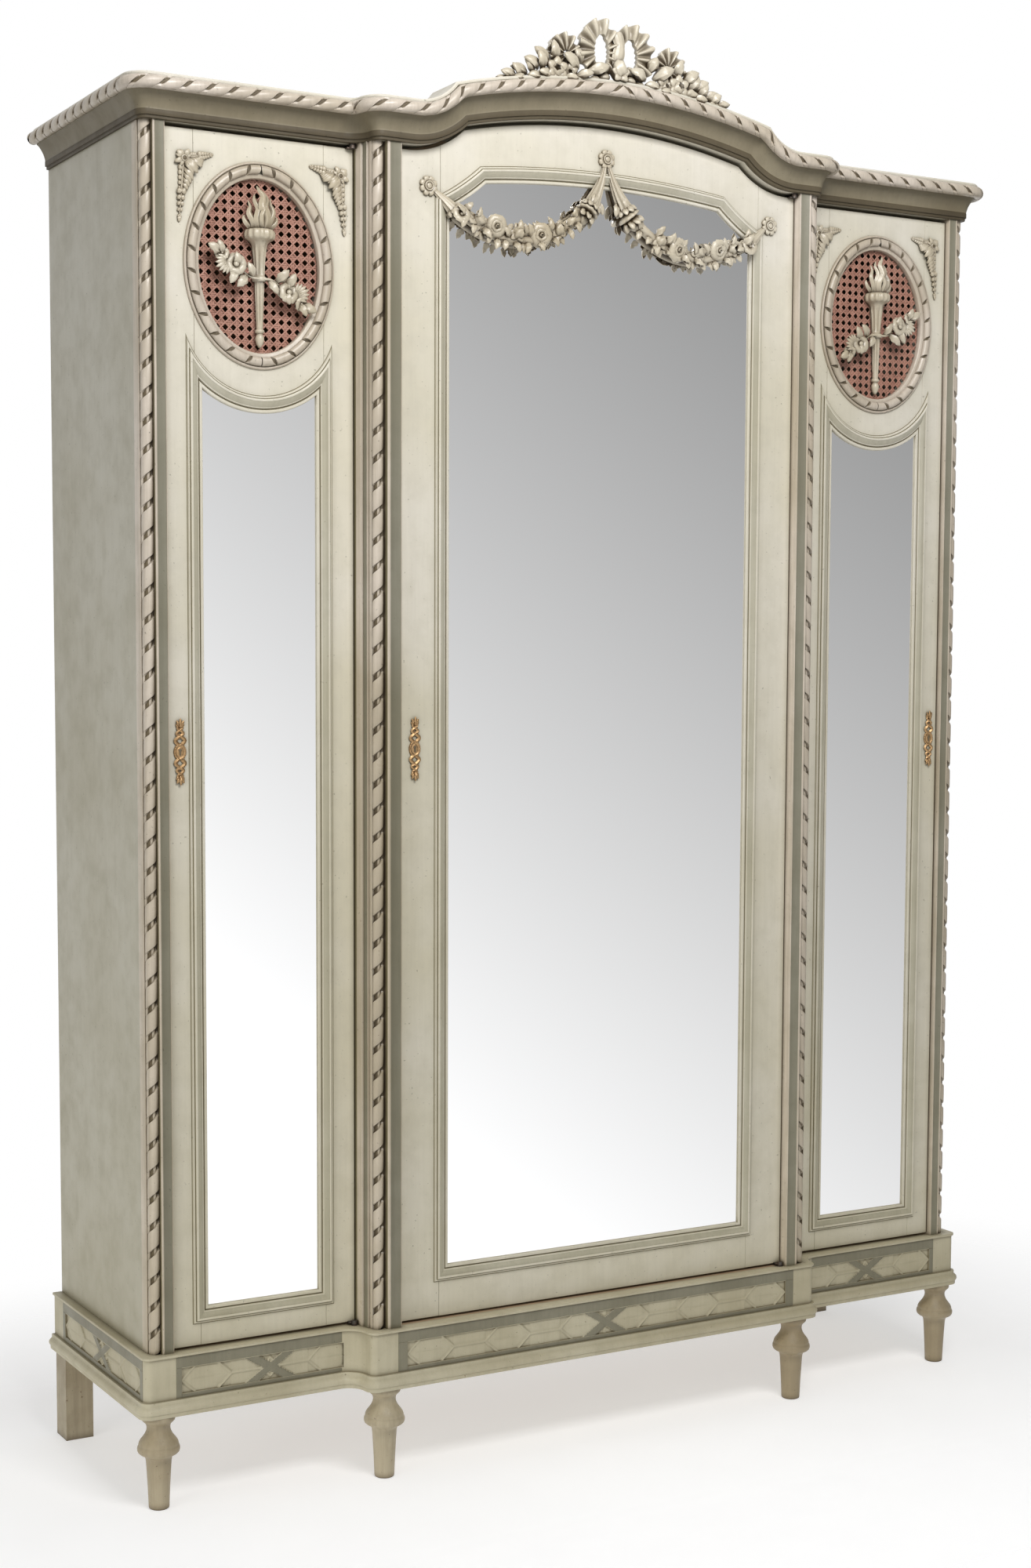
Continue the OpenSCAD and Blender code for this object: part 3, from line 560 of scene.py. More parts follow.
# dark warm paint for the cornice's cove: painted shade
cove = paint("cornice_cove_painted_shade", (0.25, 0.218, 0.150), (0.18, 0.152, 0.098), (0.07, 0.055, 0.03), (0.40, 0.56),
             deep=16, streak=0.6, specular=0.25)
carved = paint("carved_paint", (0.69, 0.635, 0.515), (0.50, 0.43, 0.305), (0.085, 0.058, 0.03), (0.24, 0.40),
               deep=13, dirt_and_shade_share=1.0, streak=0.7, specular=0.6, grain=(1, 1, 1), open_at=1.0, shut_at=0.46)
rope_paint = paint("rope_paint", (0.675, 0.60, 0.515), (0.51, 0.44, 0.335), (0.085, 0.06, 0.03),
                   (0.26, 0.42), deep=8, streak=1.6, chips=0.012, specular=0.55)
slate = paint("slate_paint", BLUE, BLUE_WARM, (0.12, 0.105, 0.065), (0.34, 0.5), deep=9, streak=1.0)
# near-black brown for the gaps, holes and hollows of the carving: painted shadow
hollow_shadow = paint("dark_hollow", (0.20, 0.16, 0.10), (0.13, 0.10, 0.06), (0.05, 0.035, 0.02), (0.5, 0.7),
               streak=1.0)
# a darker copy of the cream for the sides: painted shade
side_shaded_paint = paint("side_shaded_paint", (0.50, 0.475, 0.39), (0.44, 0.41, 0.315), (0.17, 0.145, 0.085),
                   (0.36, 0.52), deep=16, streak=0.5)
base_paint = paint("base_paint", (0.60, 0.562, 0.445), (0.50, 0.455, 0.335), (0.14, 0.11, 0.06), deep=13,
                   chips=0.025, streak=0.7)
foot_paint = paint("foot_paint", (0.49, 0.43, 0.325), (0.36, 0.295, 0.20), (0.12, 0.085, 0.045), deep=14,
                   chips=0.05, streak=1.3)
leg_paint = paint("leg_paint", (0.42, 0.365, 0.275), (0.29, 0.235, 0.16), (0.09, 0.065, 0.04), deep=14,
                  chips=0.07, streak=1.5)
timber_z = wood("bare_timber_upright", (0.50, 0.36, 0.22), (0.37, 0.245, 0.14), "z")
timber_x = wood("bare_timber_across", (0.52, 0.38, 0.235), (0.38, 0.255, 0.15), "x")
timber_y = wood("bare_timber_deep", (0.50, 0.365, 0.225), (0.36, 0.245, 0.14), "y")
iron = metal("dark_iron", (0.10, 0.095, 0.09), (0.16, 0.11, 0.08), (0.4, 0.62), 0.85)
brass = metal("rail_brass", (0.62, 0.44, 0.20), (0.42, 0.28, 0.13), (0.22, 0.42), 1.0, scale=40.0)
bronze = metal("gilt_bronze", (0.46, 0.30, 0.15), (0.27, 0.165, 0.085), (0.34, 0.55), 0.9, 300.0)
silver = mirror_glass()
cane = cane_material()
# finishes by face number: light paint, painted band, painted shadow in hollows, glaze and painted shade in
# grooves
ROPES = (rope_paint, slate, hollow_shadow, glaze_and_shade)
CARVED = (carved, slate, hollow_shadow, glaze_and_shade)
BOARDS = (cream_board, mould_band, hollow_shadow, glaze_and_shade)
BASES = (base_paint, slate, hollow_shadow, glaze_and_shade)

LOOKS = {
    "rear_leg": leg_paint, "plinth_front": base_paint, "plinth_side": base_paint, "base_moulding": base_paint,
    "floor_board": timber_x, "side_panel": side_shaded_paint, "partition": timber_z, "back_panel": timber_z,
    "top_board": timber_x, "cornice": cream_board, "side_shelves": timber_x, "hat_shelf": timber_x,
    "shelf_battens": timber_y, "hanging_rail": brass, "pivot_plates": iron, "lock_case": iron,
    "lock_bolt": brass, "hinge_leaves": iron, "mirror_back": timber_z, "mirror": silver,
}
for node_name, node_obj in NODES.items():
    look = next((m for key, m in LOOKS.items() if node_name.endswith(key) or node_name.startswith(key)),
                cream)
    node_obj.data.materials.clear()
    node_obj.data.materials.append(look)


# ---------------------------------------------------------------- planes and sizes, from the frame
def low(node):
    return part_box(node)[0]


def high(node):
    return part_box(node)[1]


HALF = high("side_panel_right").x
BACK = high("back_panel").y
SOFFIT = high("side_panel_right").z
PLINTH_TOP = low("side_panel_right").z
POST_Y = low("corner_post_right").y
FRONT_Y = low("mid_post_right").y
BREAK = POST_Y - FRONT_Y
FACE_Y = high("right_door_frame").y - 22 * MM
CENTRE_FACE_Y = high("centre_door_frame").y - 22 * MM
PLINTH_HALF = high("plinth_side_right").x - 3 * MM
PLINTH_Y = POST_Y - 8 * MM
PLINTH_Z0 = low("plinth_front").z
BASE_Z = low("base_moulding").z
WING_R = 12 * MM
HOLLOW_R = BREAK - WING_R
CORNICE_BREAK, PLINTH_BREAK = 448 * MM, 462 * MM
WING_PANEL, BAY_PANEL = (468 * MM, 782 * MM), 395 * MM
SIDE_PANEL_Y, SIDE_PANEL_L = FACE_Y + 6 * MM, BACK - 58 * MM - FACE_Y - 6 * MM
ROPE_AT = (26.6 * MM, 49.5 * MM)
MORTISE_PLAY, MORTISE_DEEP = 1.0 * MM, 12 * MM
BOLT_PLAY, BOLT_SLEEVE = 0.3 * MM, 6 * MM
TRIM, JOINT_GAP = 0.2 * MM, 0.1 * MM
SIDE_JOINT, CENTRE_JOINT = 13.5 * MM, 321.6 * MM
ARCH_TOP = high("centre_door_frame").z + 6 * MM
ARCH_X, ARCH_R, COVE_R = 385 * MM, 1202.7 * MM, 152.4 * MM
ARCH_C = (0.0, ARCH_TOP - ARCH_R)
COVE_C = (ARCH_X, SOFFIT + COVE_R)


def arch_line(o, n_arch=36, n_cove=14):
    """Left half of the arch grown by o, from the level part up over the cove to the middle: (x, z)."""
    cove = (-COVE_C[0], COVE_C[1])
    pts = meet(ARCH_C, ARCH_R + o, cove, COVE_R - o)
    corner = max(pts, key=lambda p: p[0])
    line = arc_between(cove, COVE_R - o, (-ARCH_X, SOFFIT + o), corner, n_cove)
    line += arc_between(ARCH_C, ARCH_R + o, corner, (0, ARCH_TOP + o), n_arch)
    return line


def plan_half(wing, bay, wing_y, p, back_y):
    """Left half of a breakfront outline grown by p, from the back round to the middle of the bay: (x, y)."""
    out = [(-wing - p, back_y), (-wing - p, wing_y + 0.12), (-wing - p, wing_y + 0.05)]
    out += arc(-wing + WING_R, wing_y + WING_R, WING_R + p, 180, 270, 10)
    out += [(-wing + 0.10, wing_y - p), (-bay - 0.10, wing_y - p)]
    out += arc(-bay - HOLLOW_R, wing_y - HOLLOW_R, HOLLOW_R - p, 90, 0, 12)
    out += arc(-bay + WING_R, wing_y - HOLLOW_R, WING_R + p, 180, 270, 10)
    return out


# ---------------------------------------------------------------- cornice
def cornice_half(p, h):
    """Left half of a cornice line at projection p and height h over the soffit."""
    plan = plan_half(HALF, CORNICE_BREAK, POST_Y, p, BACK)
    line = [vec(x, y, SOFFIT + h) for x, y in plan]
    line.append(vec(-ARCH_X - 20 * MM, FRONT_Y - p, SOFFIT + h))
    line += [vec(x, FRONT_Y - p, z) for x, z in arch_line(h)]
    return line


def cornice():
    """Moulded skin of the cornice, and the ribbon-twist rope along it."""
    profile = [(-4, -0.3), (3.2, -0.3), (3.6, 0.2), (3.6, 4.2), (4.2, 4.6), (5.8, 4.75), (6.1, 5.4),
               (6.1, 12.6), (5.7, 13.6), (6.0, 16.5), (7.2, 20.4), (8.5, 24.2), (10.4, 28.0), (13.8, 33.6),
               (17.2, 37.6), (20.5, 40.0), (20.5, 57.0), (24.6, 58.6), (26.2, 60.4), (26.0, 63.0),
               (24.2, 65.4), (8, 65.6)]
    shape = Shape()
    # the lower fillets take the very dark cornice paint and the cove the dark cove paint, both painted shade
    shape.grid([cornice_half(p * MM, h * MM) for p, h in profile], [BAND_OR_SHADE] * 8 + [GLAZE_AND_SHADE] * 7 + [CREAM] * 7)
    both(shape).build("cornice_skin", (cream_board, shade, hollow_shadow, cove), sharp=30)
    out, up = ROPE_AT
    axes = ([(b - a).normalized() for a, b in zip(cornice_half(out - p, up - h),
                                                  cornice_half(out + p, up + h))]
            for p, h in ((MM, 0), (0, MM)))
    marks = list(zip(cornice_half(out, up), *axes))
    fine = []
    for a, b in zip(marks, marks[1:]):
        n = max(1, int((b[0] - a[0]).length / (12 * MM)))
        fine += [tuple(u.lerp(w, k / n) for u, w in zip(a, b)) for k in range(n)]
    fine.append(marks[-1])
    shape = Shape()
    rope(shape, fine, 10.4 * MM, 38 * MM, gap=9 * MM, rod=6.4 * MM, facing=0.08, spread=0.92, lean=1.7)
    c, o, u = fine[0]
    shape.cap([c + (o * cos(a) + u * sin(a)) * 10.0 * MM for a in around(32)])
    both(shape).build("cornice_rope_carved", ROPES, ["cornice_rope"], sharp=50, normals=False)


# ---------------------------------------------------------------- posts
def upright(node, y0, before, bead, after, finish):
    """Prism of a post, its plan in millimetres from the front corner. finish gives the sides not in cream."""
    x0 = low(node).x / MM
    plan = before + arc(*bead, 250, 360, 6) + after
    rows = [[vec((x0 + x) * MM, y0 + y * MM, z) for x, y in plan] for z in (PLINTH_TOP, SOFFIT)]
    shape = Shape()
    shape.grid(rows, lambda i, j: finish.get(j, CREAM), closed=True)
    return shape


def posts():
    """Four posts with a painted band and a ribbon twist, and a mortise where a door locks."""
    z0, z1 = PLINTH_TOP, SOFFIT
    back = (FACE_Y - POST_Y) / MM + 30
    # the faces stepping back behind each bead are painted shadow and glaze with painted shade, and the mid
    # post's door-side strip is glaze with painted shade
    corner = upright("corner_post_right", POST_Y,
                     [(0, back), (0, 0.6), (0.6, 0), (1.2, 0), (1.4, 0.5), (16.4, 0.5), (16.7, 0.2)],
                     (18.4, 1.7, 1.7), [(20.3, 6), (21.4, 19), (38.6, 19), (39.4, 20), (39.5, back)],
                     {4: BAND_OR_SHADE, 13: GLAZE_AND_SHADE, 14: SHADOW_FACE})
    back = (FACE_Y - FRONT_Y) / MM + 22
    mid = upright("mid_post_right", FRONT_Y,
                  [(0, back), (0, 0.6), (0.6, 0), (1.4, 0), (1.6, 0.5), (20.6, 0.5), (20.9, 0.2)],
                  (23.4, 2.3, 2.4), [(26.2, 8), (27.4, 21), (46.6, 21), (46.9, 16), (47.6, 14.9),
                                     (48.4, 15.6), (48.6, 24),
                   (52.2, 24.6), (52.6, 37), (56.4, 37.6), (57, 38.4), (57, 54), (57.1, 54.2), (57.1, back)],
                  {4: BAND_OR_SHADE, 13: GLAZE_AND_SHADE, 14: SHADOW_FACE, 21: BAND_OR_SHADE, 26: GLAZE_AND_SHADE, 27: GLAZE_AND_SHADE})
    columns = (("corner_post", corner, (HALF - 12.4 * MM, FACE_Y + 6 * MM), "right_door_lock_bolt"),
               ("mid_post", mid, (low("mid_post_right").x + 36.8 * MM, FRONT_Y + 17.7 * MM),
                "centre_door_lock_bolt"))
    for name, prism, (cx, cy), bolt in columns:
        cut = Shape().join(prism)
        pierce(cut, low(f"{name}_right").x, *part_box(bolt), MORTISE_PLAY, 1, MORTISE_DEEP, capped=True)
        line = [(vec(-cx, cy, z0 + (z1 - z0) * k / 4), vec(1, 0, 0), vec(0, 1, 0)) for k in range(5)]
        twist = Shape()
        rope(twist, line, 10.5 * MM, 44.2 * MM, gap=12 * MM, rod=5.8 * MM, facing=-pi / 2 - 0.15,
             spread=1.45, lit=0.40)
        for side in ("left", "right"):
            locked = name == "corner_post" or side == "left"
            whole = Shape().join(cut if locked else prism, mirror=side == "left").join(twist,
                                                                                       mirror=side == "right")
            whole.build(f"{name}_{side}_carved", ROPES, [f"{name}_{side}"], sharp=50, normals=False)


# ---------------------------------------------------------------- plinth, base moulding and feet
def plinth_half(p, z):
    plan = plan_half(PLINTH_HALF, PLINTH_BREAK, PLINTH_Y, p, BACK)
    return [vec(x, y, z) for x, y in plan + [(0, PLINTH_Y - BREAK - p)]]


def plate(shape, x0, x1, z0, z1, y, place=None):
    """Thin painted band standing just off the surface y."""
    board(shape, [(x0, z0), (x1, z0), (x1, z1), (x0, z1)], [], y - 0.5 * MM, y + MM, 0.3 * MM, BAND_OR_SHADE, place)


def borders(shape, x0, x1, left, right, y, foot=0.0, place=None):
    """Bands round a sunk panel from x0 to x1. A foot extends the lower band and drops the left upright."""
    z0, z1 = PLINTH_Z0, PLINTH_TOP
    plate(shape, x0 - left, x1 + right, z1 - 23 * MM, z1 - 5 * MM, y, place)
    plate(shape, x0 - foot, x1, z0 + 1.2 * MM, z0 + 7.4 * MM, y, place)
    for a, b in ([] if foot else [(x0 - left, x0 - 0.4 * MM)]) + [(x1 + 0.4 * MM, x1 + right)]:
        plate(shape, a, b, z0 + 1.5 * MM, z1 - 23.4 * MM, y, place)


def plinth():
    """Base moulding, painted borders and the rounded cap along the top."""
    moulded = [(-4, 182.4), (0.5, 182.4), (5.2, 182.2), (5.7, 181.6), (5.7, 176.4), (6.4, 175.2),
               (8.6, 173.6), (10.6, 171.4), (11.5, 168), (10.8, 164.8), (9.6, 163.0), (8.5, 162.2),
               (8.5, 156.6), (8.0, 155.8), (-4, 155.8)]
    rim = [(-12, 0.3), (2.2, 0.3), (3.4, -0.4), (3.6, -1.8), (3.4, -3.4), (2.2, -4.3), (0.4, -4.8),
           (-3, -4.8)]

    def sweep(name, profile, z0, sharp):
        shape = Shape()
        shape.grid([plinth_half(p * MM, z0 + z * MM) for p, z in profile])
        both(shape).build(name, BASES, sharp=sharp)

    sweep("base_moulding_skin", moulded, BASE_Z - 156 * MM, 34)
    side = Shape()
    borders(side, *WING_PANEL, 5 * MM, 10 * MM, PLINTH_Y, foot=3 * MM)
    borders(side, SIDE_PANEL_Y, SIDE_PANEL_Y + SIDE_PANEL_L, 12 * MM, 12 * MM, 0,
            place=lambda x, y, z: vec(PLINTH_HALF - y, x, z))
    bands = both(side)
    borders(bands, -BAY_PANEL, BAY_PANEL, 18 * MM, 18 * MM, PLINTH_Y - BREAK)
    bands.build("plinth_borders", BASES, sharp=30)
    sweep("plinth_cap", rim, PLINTH_TOP, 30)


def feet():
    top = BASE_Z / MM
    profile = [(1, 0), (14.8, 0), (16.6, 1.2), (17.0, 3.5), (17.2, 10), (18.2, 34), (19.6, 60), (20.8, 78),
               (21.6, 84), (23.6, 88.0), (27.4, 90.6), (31.2, 92.4), (33.6, 94.6), (34.6, 97.2),
               (34.8, 100.4), (34.2, 103.2), (33.0, 104.8), (32.6, 105.8), (32.8, 107.2), (32.0, 110.4),
               (29.6, 114.4), (26.4, 118.4), (23.4, 122.6), (21.0, 127.0), (19.6, 131), (19.2, 135),
               (19.8, 139), (21.6, 142.4), (24.4, 145.0), (26.8, 147.4), (27.6, 150), (27.6, top)]
    for name in ("foot_outer_left", "foot_mid_left", "foot_mid_right", "foot_outer_right"):
        lo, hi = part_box(name)
        shape = Shape()
        c = ((lo.x + hi.x) / 2, (lo.y + hi.y) / 2, 0)
        lathe(shape, profile, c, 56)
        shape.cap([vec(c[0] + MM * cos(TAU * k / 8), c[1] + MM * sin(TAU * k / 8), 0) for k in range(8)])
        shape.build(f"{name}_turned", (foot_paint,), [name], sharp=50)


def distance(x, z, a, b):
    """Distance of each grid point from the segment a-b."""
    dx, dz = b[0] - a[0], b[1] - a[1]
    t = np.clip(((x - a[0]) * dx + (z - a[1]) * dz) / (dx * dx + dz * dz), 0, 1)
    return np.hypot(x - a[0] - t * dx, z - a[1] - t * dz)


def frieze(shape, length, height, place, leaf_l, rib_l):
    """Carved band: pointed leaves joined by ribs, mirrored about crossed ribbons in the middle."""
    step, ground, swell, shoulder = 1.6 * MM, -0.4 * MM, 1.5 * MM, 12 * MM
    rib, web, vein, vein_w, ribbon, ribbon_w = 2.3 * MM, 0.9 * MM, 0.8 * MM, 1.3 * MM, 2.2 * MM, 13.5 * MM
    nx, nz = int(length / step), int(height / step)
    xs, zs = np.linspace(0, length, nx + 1), np.linspace(0, height, nz + 1)
    x, z = np.meshgrid(xs, zs)
    half, top = length / 2, height / 2
    u, v = np.abs(x - half), z - top
    slope, cut = np.abs(v) / top, 0.26 * leaf_l
    lift = np.full_like(x, ground)
    far, mids = np.full_like(x, 1.0), np.full_like(x, 1.0)
    c = half - leaf_l / 2
    while c > -leaf_l:
        l, r = c - leaf_l / 2, c + leaf_l / 2
        inside = np.abs(u - c) + slope * cut < leaf_l / 2
        edge = np.minimum(leaf_l / 2 - np.abs(u - c) - slope * cut, shoulder)
        lift = np.where(inside, swell * np.sqrt(np.clip(edge / shoulder, 0, 1)) * (1 - 0.45 * slope ** 2),
                        lift)
        for s in (-1, 1):
            for tip, corner in ((l, l + cut), (r, r - cut)):
                far = np.minimum(far, distance(u, v, (tip, 0), (corner, s * top)))
        far = np.minimum(far, distance(u, v, (l - rib_l, 0), (l, 0)))
        mids = np.minimum(mids, distance(u, v, (l + 0.2 * leaf_l, 0.6 * MM), (r - 0.2 * leaf_l, -0.4 * MM)))
        between = (u < l) & (u > l - rib_l)
        lift = np.where(~inside & between, web * np.clip(slope, 0, 1) ** 0.6, lift)
        c -= leaf_l + rib_l
    lift = np.maximum(lift, rib * np.sqrt(np.clip(1 - (far / rib) ** 2, 0, 1)))
    lift = lift - vein * np.clip(1 - mids / vein_w, 0, 1)
    cross = np.zeros_like(x, bool)
    for s, over in ((1, 0.5 * MM), (-1, 0.0)):
        d = ((x - half) * height * 0.9 - s * v * 60 * MM) / hypot(height, 60 * MM)
        band = np.abs(d) < ribbon_w / 2
        lift = np.where(band, ribbon + over + 0.45 * MM * np.abs(np.sin(3 * pi * d / ribbon_w)), lift)
        cross |= band
    rows = [[place(xs[j], 3 * MM - lift[i, j], zs[i]) for j in range(nx + 1)] for i in range(nz + 1)]
    shape.grid(rows, lambda i, j: BAND_OR_SHADE if cross[i, j] and cross[i + 1, j + 1] else CREAM)


def friezes():
    """Carved bands of the wings, the sides and the bay."""
    z0, tall = PLINTH_Z0 + 8 * MM, 42 * MM
    x0, x1 = WING_PANEL
    wing, shape = Shape(), Shape()
    frieze(wing, x1 - x0, tall, lambda x, d, z: vec(x0 + x, PLINTH_Y + d, z0 + z), 88 * MM, 52 * MM)
    frieze(wing, SIDE_PANEL_L, tall, lambda x, d, z: vec(PLINTH_HALF - d, SIDE_PANEL_Y + x, z0 + z), 96 * MM,
           60 * MM)
    shape.join(both(wing))
    frieze(shape, 2 * BAY_PANEL, tall, lambda x, d, z: vec(x - BAY_PANEL, PLINTH_Y - BREAK + d, z0 + z),
           90 * MM, 61 * MM)
    shape.build("friezes_carved", BASES, ["friezes"], sharp=60, normals=False)


# ---------------------------------------------------------------- doors
MOULD = [(0, -3.9), (0.4, -0.6), (1.4, 0.4), (3.2, 0.8), (5.0, 0.4), (5.8, -0.6), (6.4, -1.2), (7.4, -0.8),
         (7.8, 0.8), (8.6, 1.6), (9.5, 1.7), (10, 2), (13, 3.6), (16, 4.9), (18.5, 5.6), (18.8, 6.2),
         (20.4, 6.6), (22, 6), (22.6, 4.8), (22.9, 3.6), (23.6, 3.2), (24.2, 3.6), (25.6, 3.2), (26.8, 1.6),
         (27.2, 0.15), (28.2, 0.15), (28.4, -0.3)]
# the glazed faces are the grooves, the outer slope and a dark strip at the edge in place of a groove: glaze
# and painted shade
MOULD_MATS = [mat for mat, n in ((CREAM, 5), (GLAZE_AND_SHADE, 2), (CREAM, 3), (BAND_OR_SHADE, 4), (CREAM, 4), (GLAZE_AND_SHADE, 2),
                                 (CREAM, 4), (GLAZE_AND_SHADE, 2)) for _ in range(n)]
MOULD_HOLE = 8.2 * MM
CX = (low("right_door_oval_ring").x + high("right_door_oval_ring").x) / 2
RING_LOW, RING_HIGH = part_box("right_door_oval_ring")
RING_W = 26.5 * MM
OVAL_A = (RING_HIGH.x - RING_LOW.x) / 2 - RING_W
OVAL_B = (RING_HIGH.z - RING_LOW.z) / 2 - RING_W
OVAL_Z = (RING_HIGH.z + RING_LOW.z) / 2
REBATE = 7.5 * MM
GLASS_HALF = (high("right_door_mirror").x - low("right_door_mirror").x) / 2 - REBATE
GLASS_Z = low("right_door_mirror").z + REBATE
SCOOP_R, SCOOP_Z = 164 * MM, 1935.5 * MM
HEAD_R, HEAD_Z = 1995 * MM, high("centre_door_mirror").z - REBATE
HEAD_COVE, HEAD_COVE_R = (507.6 * MM, 2485.3 * MM), 420 * MM
CENTRE_HALF = high("centre_door_mirror").x - REBATE
CENTRE_Z = low("centre_door_mirror").z + REBATE


def scoop(o):
    """Outline of a side mirror grown by o."""
    half, r = GLASS_HALF + o, SCOOP_R - o
    horn = SCOOP_Z - sqrt(r * r - half * half)
    pts = [(CX - half, GLASS_Z - o), (CX + half, GLASS_Z - o)]
    return pts + arc_between((CX, SCOOP_Z), r, (CX + half, horn), (CX - half, horn), 40)


def ellipse(o, n=96):
    """Oval of the cane opening, grown by o."""
    return [(CX + (OVAL_A + o) * cos(a), OVAL_Z + (OVAL_B + o) * sin(a)) for a in around(n)]


def arch_glass(o):
    """Outline of the centre mirror grown by o."""
    half, r = CENTRE_HALF + o, HEAD_COVE_R - o
    z_side = HEAD_COVE[1] - sqrt(r * r - (HEAD_COVE[0] - half) ** 2)
    head = (0.0, HEAD_Z - HEAD_R)
    corner = min(meet(head, HEAD_R + o, HEAD_COVE, r), key=lambda p: p[0])
    right = arc_between(HEAD_COVE, r, (half, z_side), corner, 14) + arc_between(head, HEAD_R + o, corner,
                                                                                (0, HEAD_Z + o), 20)
    left = [(-x, z) for x, z in reversed(right[:-1])]
    return [(-half, CENTRE_Z - o), (half, CENTRE_Z - o)] + right + left


def moulding(shape, outline, face, profile=MOULD, mats=MOULD_MATS):
    """Moulding swept round an outline that grows with the profile's first figure."""
    rows = [[vec(x, face - h * MM, z) for x, z in outline(o * MM)] for o, h in profile]
    shape.grid(rows, mats, closed=True)


def hang(shape, side, look, node, mats, slot="cream_paint", **how):
    """Build a piece drawn for the right-hand door, turned over for the left one."""
    shape = mirrored(shape) if side == "left" else shape
    shape.build(f"{side}_door_{look}", mats, [f"{side}_door_{node}"], f"{side}_door", slot, **how)


def side_door(side):
    """Two stiles with a pierced panel between them, and the moulding round the mirror."""
    lo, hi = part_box("right_door_frame")
    x0, x1, z0, z1 = lo.x + TRIM, hi.x - TRIM, lo.z + TRIM, hi.z - TRIM
    s = Shape()
    joint0, joint1 = CX - GLASS_HALF - SIDE_JOINT, CX + GLASS_HALF + SIDE_JOINT
    for a, b, holes, bevel in ((x0, joint0, [], 0.7), (joint1, x1, [], 0.7),
                               (joint0 + JOINT_GAP, joint1 - JOINT_GAP,
                                [scoop(MOULD_HOLE), ellipse(2.5 * MM)], 0.4)):
        board(s, [(a, z0), (b, z0), (b, z1), (a, z1)], holes, FACE_Y, hi.y - TRIM, bevel * MM)
    pierce(s, x1, *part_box("right_door_lock_bolt"), BOLT_PLAY, -1, BOLT_SLEEVE)
    moulding(s, scoop, FACE_Y)
    hang(s, side, "frame_boards", "frame", BOARDS, sharp=32)


def oval_ring(side):
    """Ribbon-bound moulding round a cane panel, wound both ways from the bottom."""
    shape = Shape()
    flat = [(0, -8.0), (0, 0.6), (0.6, 1.7), (1.8, 2.2), (4.2, 2.6), (6.2, 3.2), (6.8, 3.4)]
    outer = [(20.4, 2.6), (21.0, 2.4), (21.6, 3.2), (22.6, 4.1), (23.8, 4.4), (25.0, 3.7), (26.0, 2.0),
             (26.5, 0.2), (26.5, -1)]
    for profile in (flat, outer):
        moulding(shape, ellipse, FACE_Y, profile, CREAM)
    r, mid = 7.4 * MM, 13.6 * MM
    dense = ellipse(mid, 720)
    loop = [dense[(540 + k) % 720] for k in range(361)]
    length = [0.0]
    for p, q in zip(loop, loop[1:]):
        length.append(length[-1] + hypot(q[0] - p[0], q[1] - p[1]))
    total, turns, tilt, across = length[-1], 12, 9 * MM, 22
    pitch = (total - 9 * MM) / turns
    marks = []
    for k in range(turns + 1):
        t = k * pitch + 4.5 * MM - 0.5 * pitch
        marks += [(t, -3.6, 1.0), (t, -2.4, 0.46), (t, 2.4, 0.46), (t, 3.6, 1.0), (t + 0.3 * pitch, 0, 1.03),
                  (t + 0.62 * pitch, 0, 1.03)]
    xs, zs = zip(*loop)
    rows, deep = [], []
    for t, shift, k in marks:
        row = []
        for j in range(across + 1):
            a = pi * j / across
            lens = 0.12 + 0.88 * sin(a) ** 0.8
            w = t + shift * MM * lens + tilt * (j / across - 0.5)
            w = min(max(w, 0.8 * MM), total - 0.8 * MM)
            x, z = np.interp(w, length, xs), np.interp(w, length, zs)
            gx, gz = (x - CX) / (OVAL_A + mid) ** 2, (z - OVAL_Z) / (OVAL_B + mid) ** 2
            g = hypot(gx, gz)
            ripple = 1 - (0.045 if j % 2 else 0.0) * (k > 0.9)
            q = r * (1 - (1 - k) * lens if k < 1 else k) * ripple
            o = -q * cos(a)
            row.append(vec(x + gx / g * o, FACE_Y - 3.0 * MM - q * sin(a) * 0.92, z + gz / g * o))
        rows.append(row)
        deep.append(k < 0.9)
    # the gaps between the ribbon's turns are painted shadow
    half = Shape()
    half.grid(rows, lambda i, j: SHADOW_FACE if deep[i] and deep[min(i + 1, len(deep) - 1)] else CREAM)
    other = mirrored(half)
    for p in other.verts:
        p.x += 2 * CX
    hang(shape.join(half).join(other), side, "ribbon_ring", "oval_ring", ROPES, sharp=50, normals=False)


def strand(shape, line, width, rise, half_pitch, phase):
    """Flat arched strip of cane along line, if there is one, waving over and under."""
    if not line:
        return
    a, b = line
    length = hypot(b[0] - a[0], b[1] - a[1])
    n = max(2, int(round(length / half_pitch * 2)))
    d = ((b[0] - a[0]) / length, (b[1] - a[1]) / length)
    rows = []
    for k in range(n + 1):
        t = length * k / n
        x, z = a[0] + d[0] * t, a[1] + d[1] * t
        y = FACE_Y + 9.4 * MM - rise - 0.45 * MM * cos(pi * (t / half_pitch + phase))
        rows.append([vec(x - d[1] * o * width, y + h * MM, z + d[0] * o * width) for o, h in
                     ((-0.5, 0.35), (-0.28, -0.1), (0.28, -0.1), (0.5, 0.35), (0.3, 0.6), (-0.3, 0.6))])
    shape.grid(rows, 0, closed=True)


